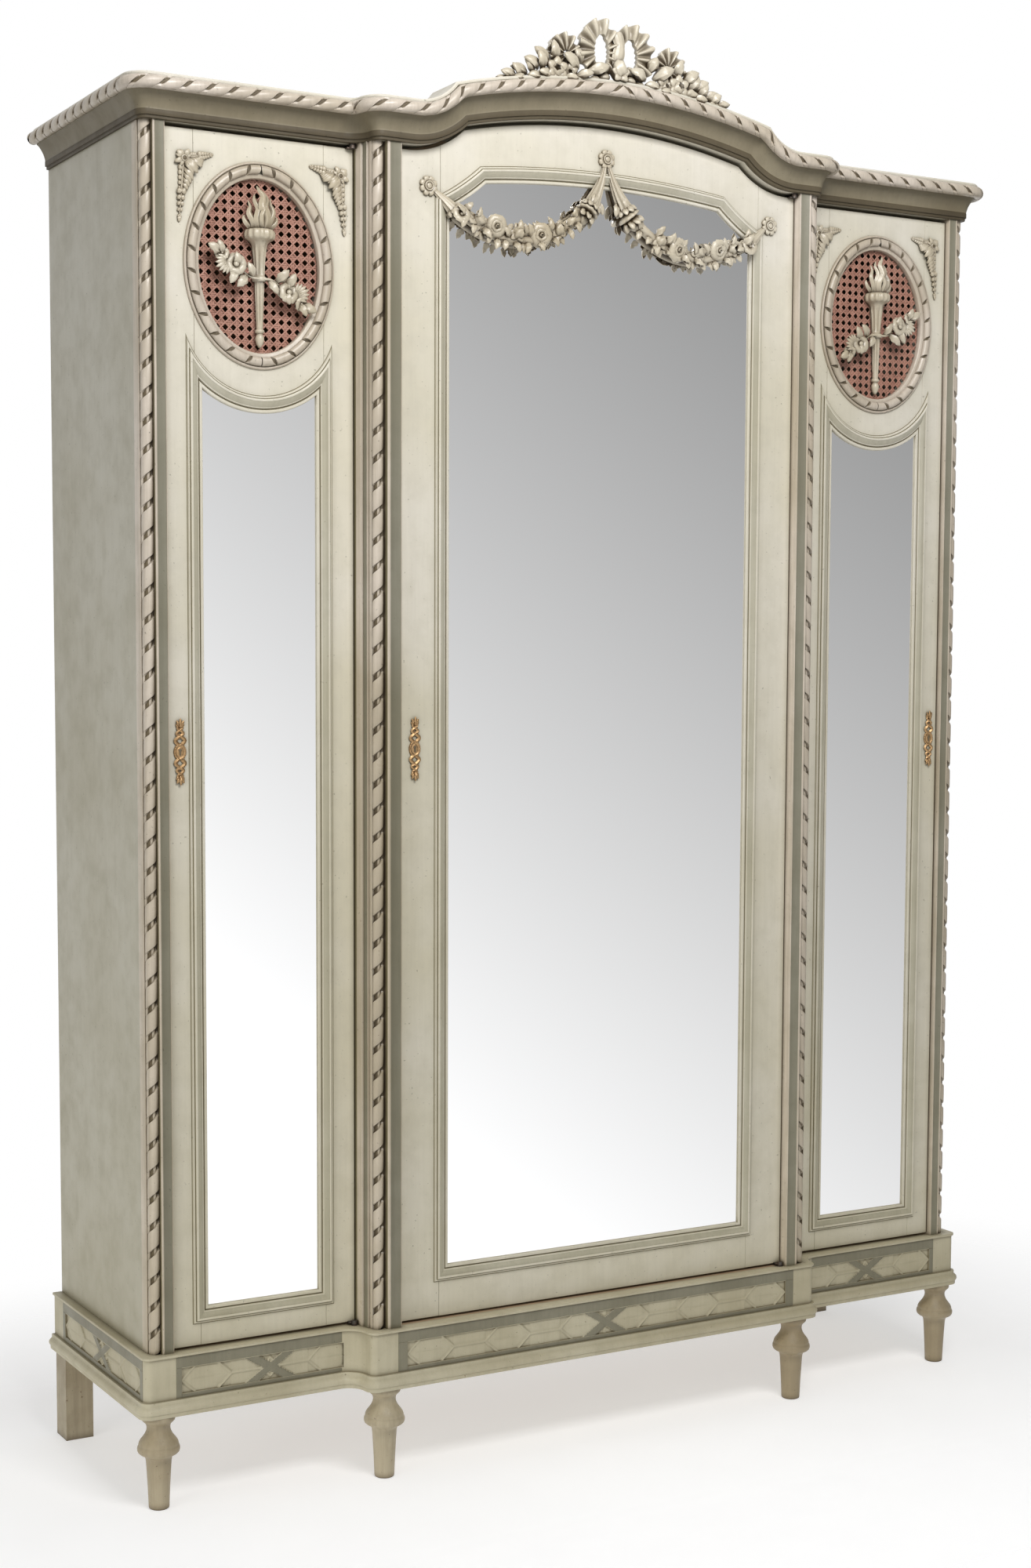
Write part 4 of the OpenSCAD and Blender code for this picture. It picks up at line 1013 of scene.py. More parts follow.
def chord(px, pz, dx, dz):
    """Where the line through (px, pz) along (dx, dz) crosses the oval, a little past its edge."""
    a, b = OVAL_A + 5 * MM, OVAL_B + 5 * MM
    x, z = px - CX, pz - OVAL_Z
    qa = (dx / a) ** 2 + (dz / b) ** 2
    qb = 2 * (x * dx / a ** 2 + z * dz / b ** 2)
    qc = (x / a) ** 2 + (z / b) ** 2 - 1
    disc = qb * qb - 4 * qa * qc
    if disc <= 0:
        return None
    r = sqrt(disc)
    t0, t1 = (-qb - r) / (2 * qa), (-qb + r) / (2 * qa)
    if t1 - t0 < 8 * MM:
        return None
    return (px + dx * t0, pz + dz * t0), (px + dx * t1, pz + dz * t1)


def cane_panel(side):
    """Six-way cane: upright and level pairs with one strand each way on the slant, round diamond holes."""
    p, slant = 14 * MM, sqrt(0.5)
    s = Shape()
    for k in range(-12, 13):
        for pair in (-1, 1):
            off = (k + 0.5) * p + pair * 1.35 * MM
            strand(s, chord(CX + off, OVAL_Z, 0, 1), 2.3 * MM, 0.0, p, k + (pair > 0))
            strand(s, chord(CX, OVAL_Z + off, 1, 0), 2.3 * MM, 0.1 * MM, p, k + 0.5 + (pair > 0))
        for sign in (-1, 1):
            for half in (0, 1):
                start = CX + (2 * k + half + 0.5) * p
                strand(s, chord(start, OVAL_Z, sign * slant, slant), 2.5 * MM, 0.75 * MM, p * slant,
                       k + half + (sign > 0))
    rim = [(7.4, 8.2), (2.6, 8.2), (2.6, 17.8), (7.4, 17.8)]
    s.grid([[vec(x, FACE_Y + h * MM, z) for x, z in ellipse(o * MM)] for o, h in rim], 1, closed=True,
           ring=True)
    hang(s, side, "cane_weave", "cane_panel", (cane, cream), "woven_cane", sharp=60, normals=False)


def torch(side):
    """Torch with crossed sprays, drawn for the right-hand door with the high spray on its inner side."""
    s = Shape()
    axis_y = FACE_Y + 1.0 * MM
    z0 = low("right_door_torch").z

    def at(x, z, y=0.0):
        return vec(CX + x * MM, axis_y - y * MM, z0 + z * MM)

    def carve(h, a):
        if 170 < h < 185:
            return 1 + 0.05 * cos(14 * a)
        fluted = 36 < h < 104 or 116 < h < 164
        return 1 - (0.17 * abs(sin(5 * a)) ** 0.7 if fluted else 0)

    shaft = [(0.6, 0), (2.6, 1.2), (4.6, 4.6), (6.4, 9), (7.3, 13), (7.0, 17), (5.2, 20.6), (4.6, 22),
             (6.0, 23), (7.4, 24.6), (7.8, 26.4), (7.0, 28.4), (5.3, 29.8), (5.5, 31.4), (5.7, 36),
             (6.0, 45), (6.7, 68), (7.6, 92), (8.0, 103), (8.4, 104.4), (9.8, 105.6), (10.4, 107.6),
             (10.4, 109.6), (9.8, 111.6), (8.4, 113), (8.6, 117), (9.4, 132), (10.3, 142), (11.3, 150),
             (12.5, 158), (13.8, 164), (16.8, 167.4), (21, 169.4), (23.4, 171.2), (24.5, 174.5), (24.7, 178),
             (24.0, 182), (22.4, 184.8), (19, 186), (11, 186), (1, 186)]
    lathe(s, shaft, at(0, 0), 80, carve)
    # flames: tapered, curling tongues
    tongues = [
        ([(-17, 184, 1), (-26, 192, 4), (-35, 198, 5), (-38, 205, 4), (-34, 209, 2)], 6.5),
        ([(-12, 184, 5), (-20, 200, 9), (-27, 214, 9), (-22, 226, 7), (-25, 236, 4)], 7.5),
        ([(-9, 184, 8), (-14, 204, 12), (-8, 220, 12), (-14, 234, 8), (-9, 244, 5)], 8.0),
        ([(-3, 184, 11), (-8, 202, 15), (2, 220, 16), (-3, 236, 12), (5, 246, 9), (9, 253, 6)], 9.5),
        ([(6, 184, 9), (12, 200, 13), (8, 216, 12), (16, 230, 9), (13, 240, 5)], 8.5),
        ([(13, 184, 5), (20, 198, 9), (28, 209, 8), (24, 220, 6), (28, 230, 3)], 7.5),
        ([(18, 184, 1), (27, 191, 4), (35, 196, 5), (38, 203, 4), (33, 207, 2)], 6.5),
        ([(1, 188, 15), (5, 204, 19), (-3, 218, 18), (3, 231, 13)], 5.5),
    ]
    for pts, w in tongues:
        line = smooth_path([at(x * 0.74, z, y) for x, z, y in pts], 5)
        along = [k / (len(line) - 1) for k in range(len(line))]
        radii = [(0.84 * w * (1 - u ** 1.5) ** 0.8 * (0.72 + 0.28 * sin(pi * u)) + 0.5) * MM for u in along]
        tube(s, line, radii, 14, flat=0.8, flute=lambda a: 1 - 0.30 * abs(sin(2 * a)))
    # sprays, the outer one high and the inner one low
    rng = random.Random(11)
    grow = 1.04
    for sx, sz in ((1, 1), (-1, -1)):
        def spot(x, z, y):
            return at(sx * grow * x, 108 + sz * grow * z, y)

        def put_leaf(x, z, y, a, length, width, lobes=0.14, lift=0.24):
            leaf(s, spot(x, z, y), heading(a * sz, -0.22, sx), OUT, length, width, lift, 0.35, lobes, 1.3,
                 tip=0.94)

        line = smooth_path([spot(*p) for p in ((0, 0, 9), (16, 1, 9), (32, 9, 8), (50, 20, 8), (66, 32, 7))],
                           5)
        tube(s, line, [2.5 * MM * (1 - 0.4 * k / len(line)) for k in range(len(line))], 8)
        for x, z, y, a, l, w in ((12, 1, 8, 58, 27, 14), (24, 4, 8, -46, 30, 16), (38, 14, 9, 74, 25, 15),
                                 (42, 12, 8, -62, 29, 16), (66, 34, 8, 24, 29, 16), (64, 31, 8, 66, 25, 14)):
            put_leaf(x, z, y, a, l, w)
        for k in range(7):
            put_leaf(55, 22, 8, -26 + 17 * (k - 3), 27 - 1.6 * abs(k - 3), 8.5, 0.05, 0.2)
        flower(s, spot(44, 18, 10), OUT + vec(0.1 * sx, 0, 0.15), 17, 6, rng.random() * 2, 0.30, 0.26)
        dome(s, spot(44, 18, 14), OUT, 5.0, 3.4, 16, 4)
        flower(s, spot(66, 33, 9), OUT + vec(0.3 * sx, 0, 0.3 * sz), 11, 5, 0.8, 0.3, 0.3)
        bud(s, spot(76, 41, 7), vec(sx, -0.2, 0.7 * sz), 5.4, 16)
        bud(s, spot(31, 19, 8), vec(sx * 0.2, -0.3, sz), 4.4, 12)
    lathe(s, [(9.6, -4), (11.4, -3), (11.9, 0), (11.4, 3), (9.6, 4)], at(0, 108), 36)
    hang(s, side, "torch_carved", "torch", CARVED, sharp=60)


def spandrels(side):
    """Leafy corner mounts over the cane panel."""
    s = Shape()
    top = high("right_door_spandrels").z
    for corner, sx, arm, leg in ((high("right_door_spandrels").x, -1, 62, 112),
                                 (low("right_door_spandrels").x, 1, 66, 108)):
        def at(x, z, y=1.0):
            return vec(corner + sx * x * MM, FACE_Y - y * MM, top - z * MM)

        hub = (12, 14)
        start = at(*hub)
        for reach, horizontal in ((arm, True), (leg, False)):
            tip = at(reach, 3.5) if horizontal else at(3.5, reach)
            span, d = (tip - start).length, (tip - start).normalized()
            side_d = vec(-d.z, 0, d.x)
            line = [start.lerp(tip, k / 8) - vec(0, 1.5 * MM, 0) for k in range(9)]
            tube(s, line, [(3.0 - 0.28 * k) * MM for k in range(9)], 8, flat=0.9)
            for k in range(5):
                u = 0.10 + 0.085 * k
                for flip in (-1, 1):
                    inner = (side_d * flip).dot(vec(sx, 0, -1)) > 0
                    size = (28 - 3.8 * k) if inner else (11 - 0.9 * k)
                    leaf(s, start.lerp(tip, u), d + side_d * flip * 0.75 + OUT * 0.12, OUT, size,
                         10.5 - 0.8 * k, 0.26, 0.35, 0.0, 1.5)
            for k in range(5):
                u = 0.50 + 0.105 * k
                for flip in (-1, 1):
                    leaf(s, start.lerp(tip, u) - d * 4 * MM, d + side_d * flip * 0.5 + OUT * 0.2, OUT,
                         12 - 1.5 * k, 9 - 1.4 * k, 0.34, 0.5, 0.0, 1.4, tip=0.8)
            leaf(s, start.lerp(tip, 0.88), d, OUT, 0.13 * span / MM, 6, 0.2, 0.3, 0.0)
        for a, l, w in ((135, 16, 11), (112, 14, 8), (158, 14, 8), (60, 17, 9), (205, 17, 9), (25, 14, 8),
                        (-12, 13, 8), (245, 14, 8), (-45, 31, 13), (-30, 27, 10), (-60, 29, 10)):
            d = heading(a, -0.12, sx)
            leaf(s, at(*hub, 1.6), d, OUT, l, w, 0.26, 0.35, 0.1, 1.3)
        lathe(s, [(6.2, 0), (6.0, 3.2), (5.0, 4.6), (3.4, 4.9)], at(*hub, 2.0), 28, None,
              (vec(1, 0, 0), vec(0, 0, 1), OUT))
        # a dark dome stands for the hole at the hub: painted shadow
        hole = Shape()
        dome(hole, at(*hub, 6.2), OUT, 3.3, 1.0, 16, 3)
        hole.mats = [SHADOW_FACE] * len(hole.mats)
        s.join(hole)
    hang(s, side, "spandrels_carved", "spandrels", CARVED, sharp=60)


def escutcheon(name, body):
    """Gilt keyhole mount: an oval shield with ribbon twists and a palmette at each end."""
    lo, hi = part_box(name)
    face = hi.y
    cx, cz = (lo.x + hi.x) / 2, (lo.z + hi.z) / 2
    s = Shape()

    def at(x, z, y):
        return vec(cx + x * MM, face - y * MM, cz + z * MM)

    rows = []
    for k, y in ((1.0, -0.2), (1.0, 1.2), (0.95, 2.0), (0.84, 2.6), (0.72, 2.2), (0.66, 1.3), (0.58, 1.1),
                 (0.50, 1.9), (0.42, 2.0), (0.1, 2.0)):
        rows.append([at(10.6 * k * cos(TAU * j / 40), 13.5 * k * sin(TAU * j / 40), y) for j in range(40)])
    s.grid(rows, 0, closed=True)
    for a in around(18):
        dome(s, at(9.4 * cos(a), 12.2 * sin(a), 1.6), OUT, 1.5, 1.5, 8, 3)
    # the keyhole is a dark plate on the shield: painted shadow
    key = [(x * MM, z * MM) for x, z in arc(0, 2.6, 2.6, -50, 230, 14)] + [(-1.3 * MM, -5.6 * MM),
                                                                           (1.3 * MM, -5.6 * MM)]
    board(s, [(cx + x, cz + z) for x, z in key], [], face - 2.5 * MM, face - 0.5 * MM, 0.1 * MM, 1)
    for v in (-1, 1):
        for w in (-1, 1):
            pts = [(w * 3, v * 12, 1.4), (w * 8.2, v * 18, 2.2), (w * 2.5, v * 24, 3.0),
                   (-w * 5.6, v * 29, 2.2), (-w * 1.5, v * 34, 2.6), (w * 4.4, v * 38, 1.8),
                   (w * 1.0, v * 42, 1.6)]
            line = smooth_path([at(*p) for p in pts], 5)
            n = len(line)
            tube(s, line, [(2.7 - 1.3 * k / n) * MM for k in range(n)], 8, flat=0.7,
                 flute=lambda a: 1 + 0.16 * cos(4 * a))
        for a, l, y in ((90, 15, 2.6), (62, 13, 1.8), (118, 13, 1.8), (38, 9, 1.2), (142, 9, 1.2)):
            d = heading(a, -0.08, 1, v)
            leaf(s, at(0, v * 38.5, y), d, OUT, l, 5.4, 0.16, 0.3, 0.0, 1.0)
    s.build(f"{name}_cast", (bronze, hollow_shadow), [name], body, "gilt_bronze", sharp=60)


def centre_door():
    """Two stiles, the arched head and rails as one pierced board, and the moulding round the mirror."""
    lo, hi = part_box("centre_door_frame")
    back, face, z0 = hi.y - TRIM, CENTRE_FACE_Y, lo.z + TRIM
    edge, top = hi.x - TRIM, -6.2 * MM
    s = Shape()
    right = [(-x, z) for x, z in arch_line(top, 40, 18)]
    z_cut = np.interp(CENTRE_JOINT, *zip(*reversed(right)))
    stile = [(CENTRE_JOINT, z0), (edge, z0), (edge, SOFFIT + top)]
    stile += [p for p in right if p[0] >= CENTRE_JOINT] + [(CENTRE_JOINT, z_cut)]
    for sign in (1, -1):
        board(s, [(sign * x, z) for x, z in stile], [], face, back, 0.7 * MM)
    x1 = CENTRE_JOINT - JOINT_GAP
    inner = [(x1, z_cut)] + [p for p in right if p[0] < x1]
    head = inner + [(-x, z) for x, z in reversed(inner[:-1])]
    board(s, [(-x1, z0), (x1, z0)] + head, [arch_glass(MOULD_HOLE)], face, back, 0.4 * MM)
    pierce(s, -edge, *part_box("centre_door_lock_bolt"), BOLT_PLAY, 1, BOLT_SLEEVE)
    moulding(s, arch_glass, face)
    s.build("centre_door_frame_boards", BOARDS, ["centre_door_frame"], "centre_door", sharp=32)


def rosette(s, c, radius):
    """Eight-lobed flower with a raised ring at its heart."""
    rows = []
    for k, y in ((1.0, 0.0), (1.0, 3.2), (0.94, 4.8), (0.80, 5.8), (0.62, 5.4), (0.50, 4.6)):
        row = []
        for a in around(96):
            valley = 1 - abs(sin(4 * a))
            r = radius * k * (1 - 0.208 * valley ** 2 * (k > 0.55))
            row.append(c + vec(r * cos(a), -y * MM * (1 - 0.10 * valley), r * sin(a)))
        rows.append(row)
    s.grid(rows, 0, closed=True)
    ring = [(0.50, 4.4), (0.49, 6.6), (0.44, 7.4), (0.37, 7.2), (0.33, 5.8), (0.31, 5.6), (0.27, 6.4),
            (0.14, 6.9), (0.01, 7.0)]
    s.grid([[c + vec(radius * k * cos(a), -y * MM, radius * k * sin(a)) for a in around(32)] for k,
            y in ring], 0,
           closed=True)


def sheath(s, line, w0, w1, ribs=3.5):
    """Fluted trumpet leaf along a line, from narrow to wide, with a flared lip."""
    n = len(line)
    radii = [(w0 + (w1 - w0) * (k / (n - 1)) ** 1.25) * MM for k in range(n)]
    tube(s, line, radii, 30, flat=0.75, flute=lambda a: 1 - 0.26 * abs(sin(ribs * a)) ** 0.6)
    end, d = line[-1], (line[-1] - line[-2]).normalized()
    x = OUT.cross(d).normalized()
    for a in around(9):
        r = x * cos(a) + OUT * sin(a) * 0.8
        leaf(s, end + r * w1 * 0.62 * MM - d * 3 * MM, d * 0.75 + r * 0.7, OUT + r, w1 * 0.95, w1 * 0.72,
             0.18, 0.3, 0.0, 1.2)


# how far leaves and blooms hang below the swag, in millimetres
HANG = 20


def garland():
    s = Shape()
    lo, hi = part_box("centre_door_garland")
    face = hi.y
    disc = 16.5 * MM
    rx, top = hi.x - disc, hi.z - disc
    fall = -79
    rosette(s, vec(0, face, top), disc)
    rng = random.Random(5)
    # the swag runs from under the end rosette to the cup and dips to just over the foot of its box
    x_out, z_out = rx / MM - 12, fall - 8
    x_in, z_in = 56, -108
    dip = (z_out + z_in) / 2 - ((lo.z - top) / MM + HANG)

    def run(u):
        return (x_out + (x_in - x_out) * u, z_out + (z_in - z_out) * u - 4 * dip * u * (1 - u),
                4 + 12.5 * min(1, u / 0.15))

    for sx in (-1, 1):
        rosette(s, vec(sx * rx, face, top + fall * MM), disc)

        def at(x, z, y):
            return vec(sx * x * MM, face - (y - 8 * min(1.0, y / 14)) * MM,
                       top + (z + 7 * min(1.0, y / 14)) * MM)

        def by(u, rise, y):
            x, z, _ = run(u)
            return at(x, z + rise, y)

        line = smooth_path([at(*run(k / 12)) for k in range(13)], 4)
        end = rx / MM
        # outer sheath from the rosette, then the core of the swag
        sheath(s, smooth_path([at(end - 8 - k, fall - 6 - k, y) for k,
                               y in ((0, 4), (11, 8), (23, 12), (35, 15))], 4), 3.6, 12.5)
        n = len(line)
        tube(s, line[8:], [9.5 * MM] * (n - 8), 12, flat=0.85, flute=lambda a: 1 - 0.12 * abs(sin(3 * a)))
        # inner sheath hanging from the middle rosette, with a cup at its foot
        sheath(s, smooth_path([at(3, -11, 5), at(8, -30, 8), at(15, -50, 11), at(24, -70, 14),
                               at(34, -88, 16)], 4), 3.4, 15.5, ribs=5)
        for x, z, y, a, l, w in ((22, -64, 15, 300, 34, 14), (34, -78, 13, 318, 26, 13),
                                 (20, -78, 14, 254, 26, 13)):
            d = heading(a, -0.22, sx)
            leaf(s, at(x, z, y), d, OUT, l, w, 0.16, 0.35, 0.05, 1.5)
        cup = at(42, -100, 15)
        d = vec(sx * 0.62, -0.12, -0.78).normalized()
        x_ax = OUT.cross(d).normalized()
        lathe(s, [(9, -8), (13, -6), (18, -2), (20, 1), (19.5, 3), (16, 4), (9, 4)],
              cup, 40, lambda h, a: 1 + 0.06 * cos(11 * a), (x_ax, d.cross(x_ax), d))
        # bloom under the cup
        for a in around(8):
            r = x_ax * cos(a) + d.cross(x_ax) * sin(a)
            leaf(s, cup + d * 4 * MM + r * 6 * MM, d * 0.9 + r * 0.75, OUT + r * 0.4, 21, 13, 0.2, 0.3, 0.06,
                 1.3)
        bud(s, cup + d * 15 * MM, d, 10, 24, 4)
        # blooms, roses and leaves along the swag
        flower(s, by(0.15, -7, 24), OUT + vec(0, 0, 0.25), 15, 6, 0.3, 0.26, 0.24, lobes=0.05)
        flower(s, by(0.23, 3, 20), OUT + vec(-0.3 * sx, 0, 0.5), 12, 5, 1.0, 0.3, 0.25)
        for u, rise, y, r in ((0.39, 12, 21, 16), (0.70, 5, 21, 17)):
            toward = OUT + vec(0.15 * sx, 0, -0.2)
            flower(s, by(u, rise, y), toward, r + 3, 6, rng.random(), 0.42, 0.05, lobes=0.08)
            flower(s, by(u, rise, y + 3), toward, 0.72 * r, 5, rng.random() + 0.5, 0.5, 0.05)
            # the dark dome at the heart of each bloom is painted shadow
            dome(s, by(u, rise, y + 4), toward, 0.40 * r, 2.4, 14, 3, SHADOW_FACE)
            bud(s, by(u, rise, y + 6), toward, 0.24 * r, 9, 3)
        for u, rise, y, r, l in ((0.28, 7, 20, 11, 24), (0.54, 10, 22, 11, 26), (0.83, 3, 21, 11, 24)):
            d = vec(sx * rng.uniform(-1, 1), -0.9, rng.uniform(-0.2, 0.9))
            bud(s, by(u, rise, y), d, r, l, 4, 2.8)
            for k in range(5):
                a = TAU * k / 5 + rng.random()
                dd = vec(cos(a), -0.35, sin(a))
                leaf(s, by(u, rise, y - 4), dd, OUT, r + 7, r + 3, 0.3, 0.3, 0.05, 1.4)
        for k in range(30):
            u = 0.17 + 0.80 * k / 29
            c = line[int(u * (n - 1))]
            below = k % 2
            a = (-90 if below else 90) + rng.uniform(-62, 62)
            l = rng.uniform(19, 24) if below else rng.uniform(23, 30)
            d = heading(a, rng.uniform(-0.45, -0.1))
            leaf(s, c + d * 3 * MM - vec(0, rng.uniform(0, 6) * MM, 0), d, OUT + vec(0, 0, 0.3), l,
                 rng.uniform(12, 15), rng.uniform(0.16, 0.28), 0.35, 0.20, 1.1, twist=rng.uniform(-0.5, 0.5),
                 tip=0.96)
        for u, rise in ((0.30, 2), (0.57, 4), (0.83, -1)):
            for k in range(3):
                d = heading(-90 + (k - 1) * 38 + rng.uniform(-8, 8), -0.2)
                leaf(s, by(u, rise, 14), d, OUT, 24, 13, 0.2, 0.4, 0.1, 1.5, tip=0.96)
    s.build("centre_door_garland_carved", CARVED, ["centre_door_garland"], "centre_door", sharp=60)


# ---------------------------------------------------------------- crest
def crest():
    """Carved ribbon bow among roses and leaves, standing on the arch."""
    s = Shape()
    lo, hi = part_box("crest")
    y_mid = (lo.y + hi.y) / 2
    top = hi.z
    rng = random.Random(3)

    def surface(x):
        """Height of the top of the arch moulding at x."""
        o = 58 * MM
        return ARCH_C[1] + sqrt((ARCH_R + o) ** 2 - x * x)

    def at(x, h, y=0.0):
        """Point at x and h millimetres over the arch, y in front of the middle plane."""
        return vec(x * MM, y_mid - y * MM, surface(x * MM) + h * MM)

    def up(x, z, y=0.0):
        return vec(x * MM, y_mid - y * MM, z)

    def loop(cx, cz, hole, rim, pleats, y, phase, depth=5.6):
        """Pleated ribbon round a hole. hole and rim are functions of the angle giving radii."""
        rows = []
        n = 168
        for a in around(n):
            r0, r1 = hole(a), rim(a)
            wave = cos(pleats * a + phase)
            sharp = copysign(abs(wave) ** 0.7, wave)
            row = []
            for u, lift, front in ((0, 0, 1), (0.05, 0.8, 1), (0.35, 2.6, 1), (0.7, 2.2, 1), (0.96, 0.5, 1),
                                   (1, 0, 1), (0.96, 0, -1), (0.5, 0, -1), (0.04, 0, -1)):
                grow = 1 + 0.028 * wave * u
                r = (r0 + (r1 - r0) * u) * grow
                amp = (1.3 + depth * u) * sharp
                thick = 4.5
                yy = y + (amp + lift + thick if front > 0 else amp - thick)
                row.append(up(cx + r * cos(a), cz + r * sin(a) * MM, yy))
            rows.append(row)
        s.grid(rows, 0, closed=True, ring=True)

    def oval_radius(rx0, rx1, rz0, rz1):
        """Radius by angle of an oval with its own reach to the left, right, down and up."""
        def radius(a):
            c, sn = cos(a), sin(a)
            x = rx1 if c > 0 else rx0
            z = rz1 if sn > 0 else rz0
            return 1 / sqrt((c / x) ** 2 + (sn / z) ** 2)
        return radius

    mid = top - 55 * MM
    loop(-29, mid, oval_radius(14, 14, 29, 29), oval_radius(45.5, 31, 42, 54), 13, 1, 0.4)
    loop(31, mid, oval_radius(14, 14, 29, 29), oval_radius(31, 47.5, 44, 53), 13, -3, 1.3)
    loop(-98, top - 67 * MM, oval_radius(5, 4, 6, 7), oval_radius(36, 24, 26, 34), 11, 0, 0.2, depth=4.6)
    loop(106, top - 67 * MM, oval_radius(4, 5, 6, 7), oval_radius(24, 34, 26, 34), 11, 0, 0.9, depth=4.6)
    # knot with hanging folds between the big loops
    for x, w in ((1, 13), (-2, 11)):
        line = smooth_path([up(x - 1, mid + 34 * MM, 6), up(x + 4, mid + 12 * MM, 9), up(x, mid - 12 * MM, 9),
                            up(x + 2, mid - 30 * MM, 8)], 5)
        tube(s, line, [w * MM * (0.8 + 0.1 * sin(k)) for k in range(len(line))], 18, flat=0.5,
             flute=lambda a: 1 - 0.2 * abs(sin(3 * a)))
    # middle rosebud on its lozenge beads
    bud(s, at(0, 26, 13), vec(0, -0.35, 1), 14, 34, 4, 2.2)
    for k in range(5):
        a = TAU * k / 5 + 0.3
        leaf(s, at(0, 20, 12), vec(cos(a), -0.5, sin(a) * 0.8), OUT, 20, 15, 0.3, 0.3, 0.0, 1.5)
    for sx in (-1, 1):
        for x, h, rx in ((26, 12, 11), (46, 22, 13), (46, 6, 12), (24, 28, 8), (66, 8, 10)):
            c = at(sx * x, h, 9)
            lathe(s, [(0.5, -rx), (4.2, -rx * 0.8), (7.4, -rx * 0.3), (7.6, rx * 0.3), (4.4, rx * 0.8),
                      (0.5, rx)],
                  c, 16, lambda h_, a_: 1 + 0.05 * cos(4 * a_),
                  (OUT, vec(0, 0, 1), vec(1, 0, -0.1 * sx).normalized()))
        # roses beside the bow
        for x, h, r in ((122, 18, 15), (96, 14, 10)):
            c = at(sx * x, h, 9)
            bud(s, c, vec(0.2 * sx, -1, 0.25), r, r * 1.5, 5, 2.6)
            for k in range(6):
                a = TAU * k / 6 + 0.5
                leaf(s, c + vec(0, 4 * MM, 0), vec(cos(a), -0.45, sin(a)), OUT, r + 9, r + 4, 0.3, 0.35,
                     0.04, 1.6)
        # large leaves from the centre outwards
        spec = ((58, 20, 168, 40, 22, 9), (74, 24, 25, 42, 22, 6), (86, 8, 170, 34, 16, 12),
                (120, 34, 74, 34, 20, 4), (134, 28, 38, 38, 22, 5), (146, 18, 62, 34, 20, 8),
                (152, 22, 20, 38, 20, 4), (164, 12, 50, 32, 18, 8), (174, 14, 10, 36, 18, 5),
                (186, 8, 34, 30, 17, 8), (196, 8, 4, 34, 15, 6), (206, 5, 24, 26, 13, 8),
                (150, 6, -4, 30, 16, 12), (180, 4, -6, 28, 14, 11), (212, 3, 2, 24, 10, 5),
                (110, 6, 178, 28, 14, 12), (136, 8, 10, 26, 14, 12), (66, 34, 60, 30, 20, 3))
        for x, h, a, l, w, y in spec:
            d = heading(a + rng.uniform(-6, 6), rng.uniform(-0.28, -0.05), sx)
            leaf(s, at(sx * x, h, y), d, OUT + vec(0, 0, 0.35), l, w, rng.uniform(0.18, 0.32), 0.4, 0.06, 2.2,
                 twist=rng.uniform(-0.35, 0.35), tip=0.93)
        for x, h, r in ((144, 12, 9), (166, 8, 8), (190, 5, 7)):
            bud(s, at(sx * x, h, 12), vec(sx, -0.5, 0.3), r, r * 2.4, 3, 2)
        # backing ridge that ties the leaves together
        line = [at(sx * x, 3 - 2 * x / 230, -1) for x in range(0, 226, 15)]
        tube(s, line, [(9 - 0.03 * x) * MM for x in range(0, 226, 15)], 12, flat=1.2)
    s.build("crest_carved", CARVED, ["crest"], sharp=60)


cornice()
posts()
plinth()
feet()
friezes()
for which in ("left", "right"):
    side_door(which)
    oval_ring(which)
    cane_panel(which)
    torch(which)
    spandrels(which)
    escutcheon(f"{which}_door_escutcheon", f"{which}_door")
centre_door()
garland()
escutcheon("centre_door_escutcheon", "centre_door")
crest()


# ---------------------------------------------------------------- floor, light and camera
# brightness in front of the armoire, as its mirrors show it: a level and its change along X and Z
WORLD_0, WORLD_X, WORLD_Z = 1.215, -0.80, -0.87
# share of the world's light that matt surfaces get
WORLD_ON_MATT = 0.38
# the floor fades out between the distances of FLOOR_FADE from the armoire
FLOOR_GLOW, FLOOR_SIZE, FLOOR_DEPTH, FLOOR_FADE = 0.48, 2.2, 0.25, (0.20, 1.0)


def stage():
    """Pale floor that fades out round the armoire."""
    m, nt, sh = new_material("studio_floor")
    speck = noise(nt, 9.0, 3.0)
    nt.links.new(mix(nt, remap(nt, speck, 0.3, 0.7), (0.62, 0.62, 0.62), (0.60, 0.60, 0.60)),
                 sh.inputs["Base Color"])
    sh.inputs["Roughness"].default_value = 0.9
    sh.inputs["Emission Color"].default_value = (1, 1, 1, 1)
    sh.inputs["Emission Strength"].default_value = FLOOR_GLOW
    sep = add(nt, "SeparateXYZ")
    nt.links.new(add(nt, "TexCoord").outputs["Object"], sep.inputs["Vector"])
    away = []
    for axis, half in ((0, HALF), (1, FLOOR_DEPTH)):
        beyond = times(nt, times(nt, times(nt, sep.outputs[axis], 0.0, "ABSOLUTE"), half, "SUBTRACT"), 0.0,
                       "MAXIMUM")
        away.append(times(nt, beyond, beyond))
    far = times(nt, times(nt, away[0], away[1], "ADD"), 0.5, "POWER")
    nt.links.new(remap(nt, far, *FLOOR_FADE, 1.0, 0.0), sh.inputs["Alpha"])
    mesh = bpy.data.meshes.new("studio_floor")
    r = FLOOR_SIZE
    mesh.from_pydata([(-r, -r, 0), (r, -r, 0), (r, r, 0), (-r, r, 0)], [], [(0, 1, 2, 3)])
    mesh.materials.append(m)
    floor = bpy.data.objects.new("studio_floor", mesh)
    bpy.context.scene.collection.objects.link(floor)


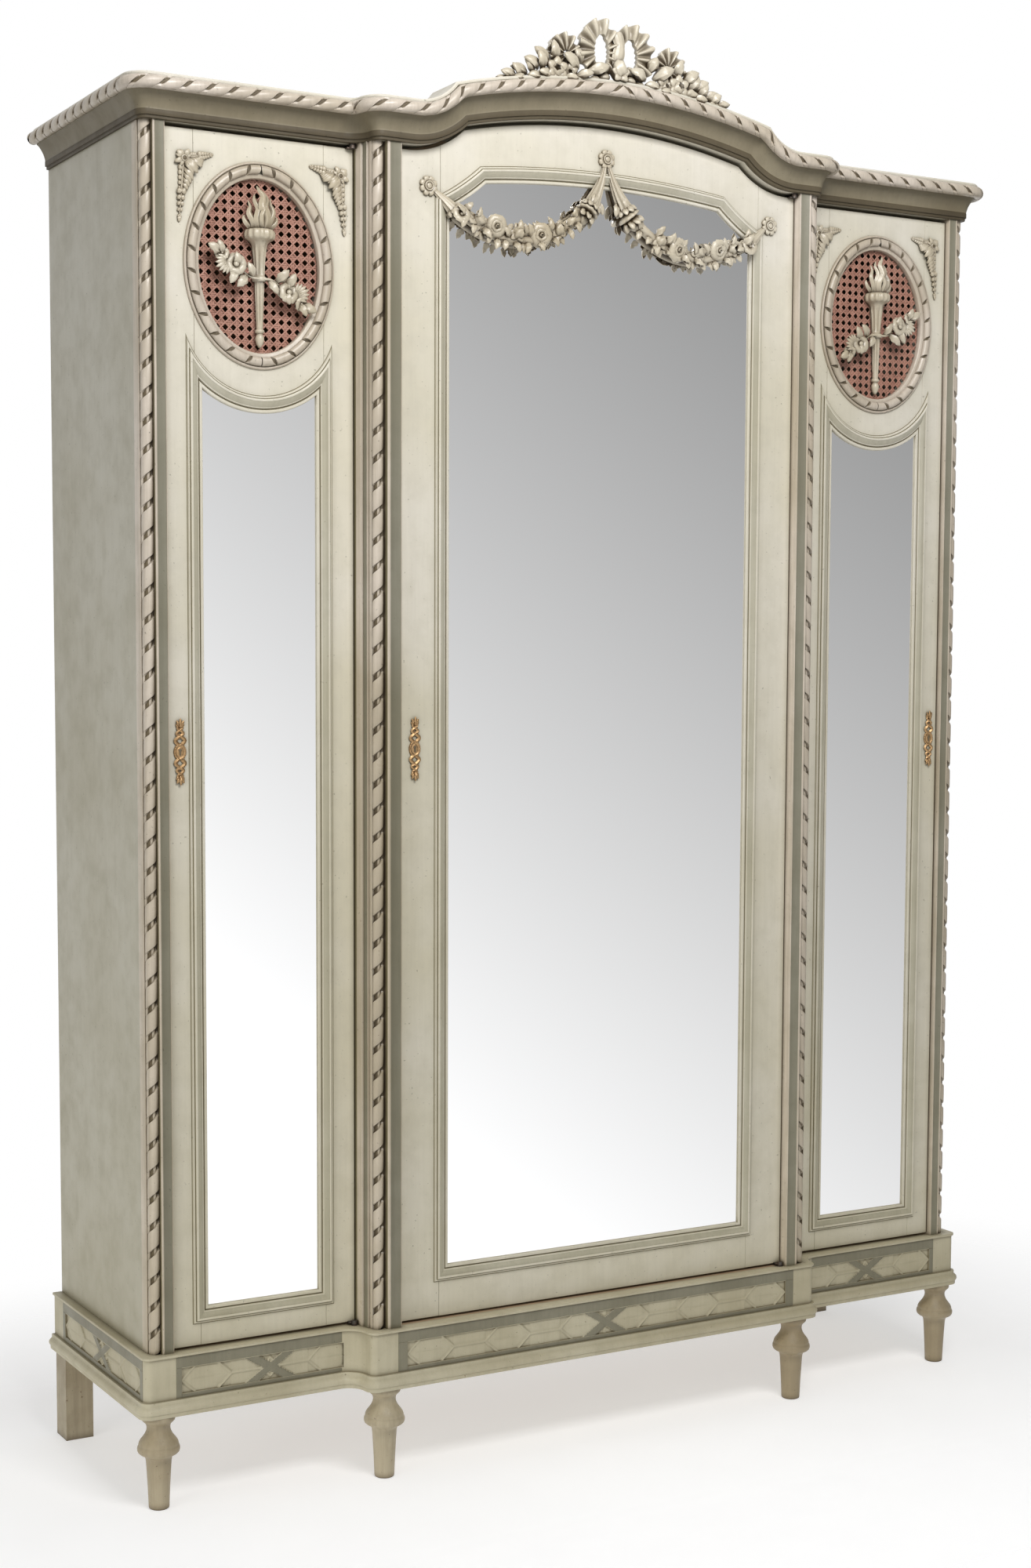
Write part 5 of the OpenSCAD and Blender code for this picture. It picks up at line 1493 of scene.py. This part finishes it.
def world():
    """White behind the armoire, and a soft fall of light in front that its mirrors show."""
    w = bpy.data.worlds.new("studio")
    bpy.context.scene.world = w
    w.use_nodes = True
    nt = w.node_tree
    bg = nt.nodes["Background"]
    co = add(nt, "TexCoord")
    sep = add(nt, "SeparateXYZ")
    nt.links.new(co.outputs["Generated"], sep.inputs["Vector"])
    x, y, z = sep.outputs
    level = times(nt, times(nt, times(nt, x, WORLD_X), times(nt, z, WORLD_Z), "ADD"), WORLD_0, "ADD")
    level = remap(nt, level, 0.30, 1.04, 0.30, 1.04)
    front = times(nt, level, 2.2, "POWER")
    side = mix(nt, remap(nt, y, -0.45, -0.20), front, (0.34, 0.34, 0.335))
    back = mix(nt, remap(nt, y, 0.30, 0.60), side, (1.0, 1.0, 1.0))
    nt.links.new(back, bg.inputs["Color"])
    diffuse = add(nt, "LightPath").outputs["Is Diffuse Ray"]
    nt.links.new(remap(nt, diffuse, 0.0, 1.0, 1.0, WORLD_ON_MATT), bg.inputs["Strength"])


def lamp(name, place, aim, size, power, colour=(1, 1, 1), shine=False):
    data = bpy.data.lights.new(name, "AREA")
    data.shape = "RECTANGLE"
    data.size, data.size_y = size
    data.energy = power
    data.color = colour
    obj = bpy.data.objects.new(name, data)
    bpy.context.scene.collection.objects.link(obj)
    obj.location = place
    obj.rotation_euler = (Vector(aim) - Vector(place)).to_track_quat("-Z", "Y").to_euler()
    obj.visible_glossy = shine
    obj.visible_camera = False


def camera():
    yaw, pitch, roll = 0.5081, -0.0797, 0.0023
    fwd = vec(sin(yaw) * cos(pitch), cos(yaw) * cos(pitch), sin(pitch))
    right = vec(cos(yaw), -sin(yaw), 0)
    up = right.cross(fwd)
    r2 = right * cos(roll) + up * sin(roll)
    u2 = up * cos(roll) - right * sin(roll)
    data = bpy.data.cameras.new("camera")
    data.sensor_fit = "VERTICAL"
    data.sensor_height = 36
    data.lens = 51.90
    data.shift_x, data.shift_y = 0.0323, 0.0380
    data.clip_end = 200
    obj = bpy.data.objects.new("camera", data)
    bpy.context.scene.collection.objects.link(obj)
    m = Matrix((r2, u2, -fwd)).transposed().to_4x4()
    m.translation = vec(-2.127, -3.5356, 1.3725)
    obj.matrix_world = m
    bpy.context.scene.camera = obj


stage()
world()
lamp("key", (-0.4, -2.3, 3.35), (-0.1, 0, 1.35), (1.5, 1.0), 64, (1.0, 0.99, 0.985), shine=True)
lamp("left", (-3.1, -0.9, 0.7), (-0.8, 0, 0.8), (1.6, 1.6), 26)
lamp("right", (3.2, -0.6, 1.4), (0.8, 0, 1.1), (1.8, 1.8), 5)
lamp("top", (0, 0.2, 5.0), (0, 0.1, 1.5), (2.4, 1.6), 22)
camera()
bpy.context.scene.view_settings.view_transform = "Standard"
bpy.context.scene.view_settings.look = "None"
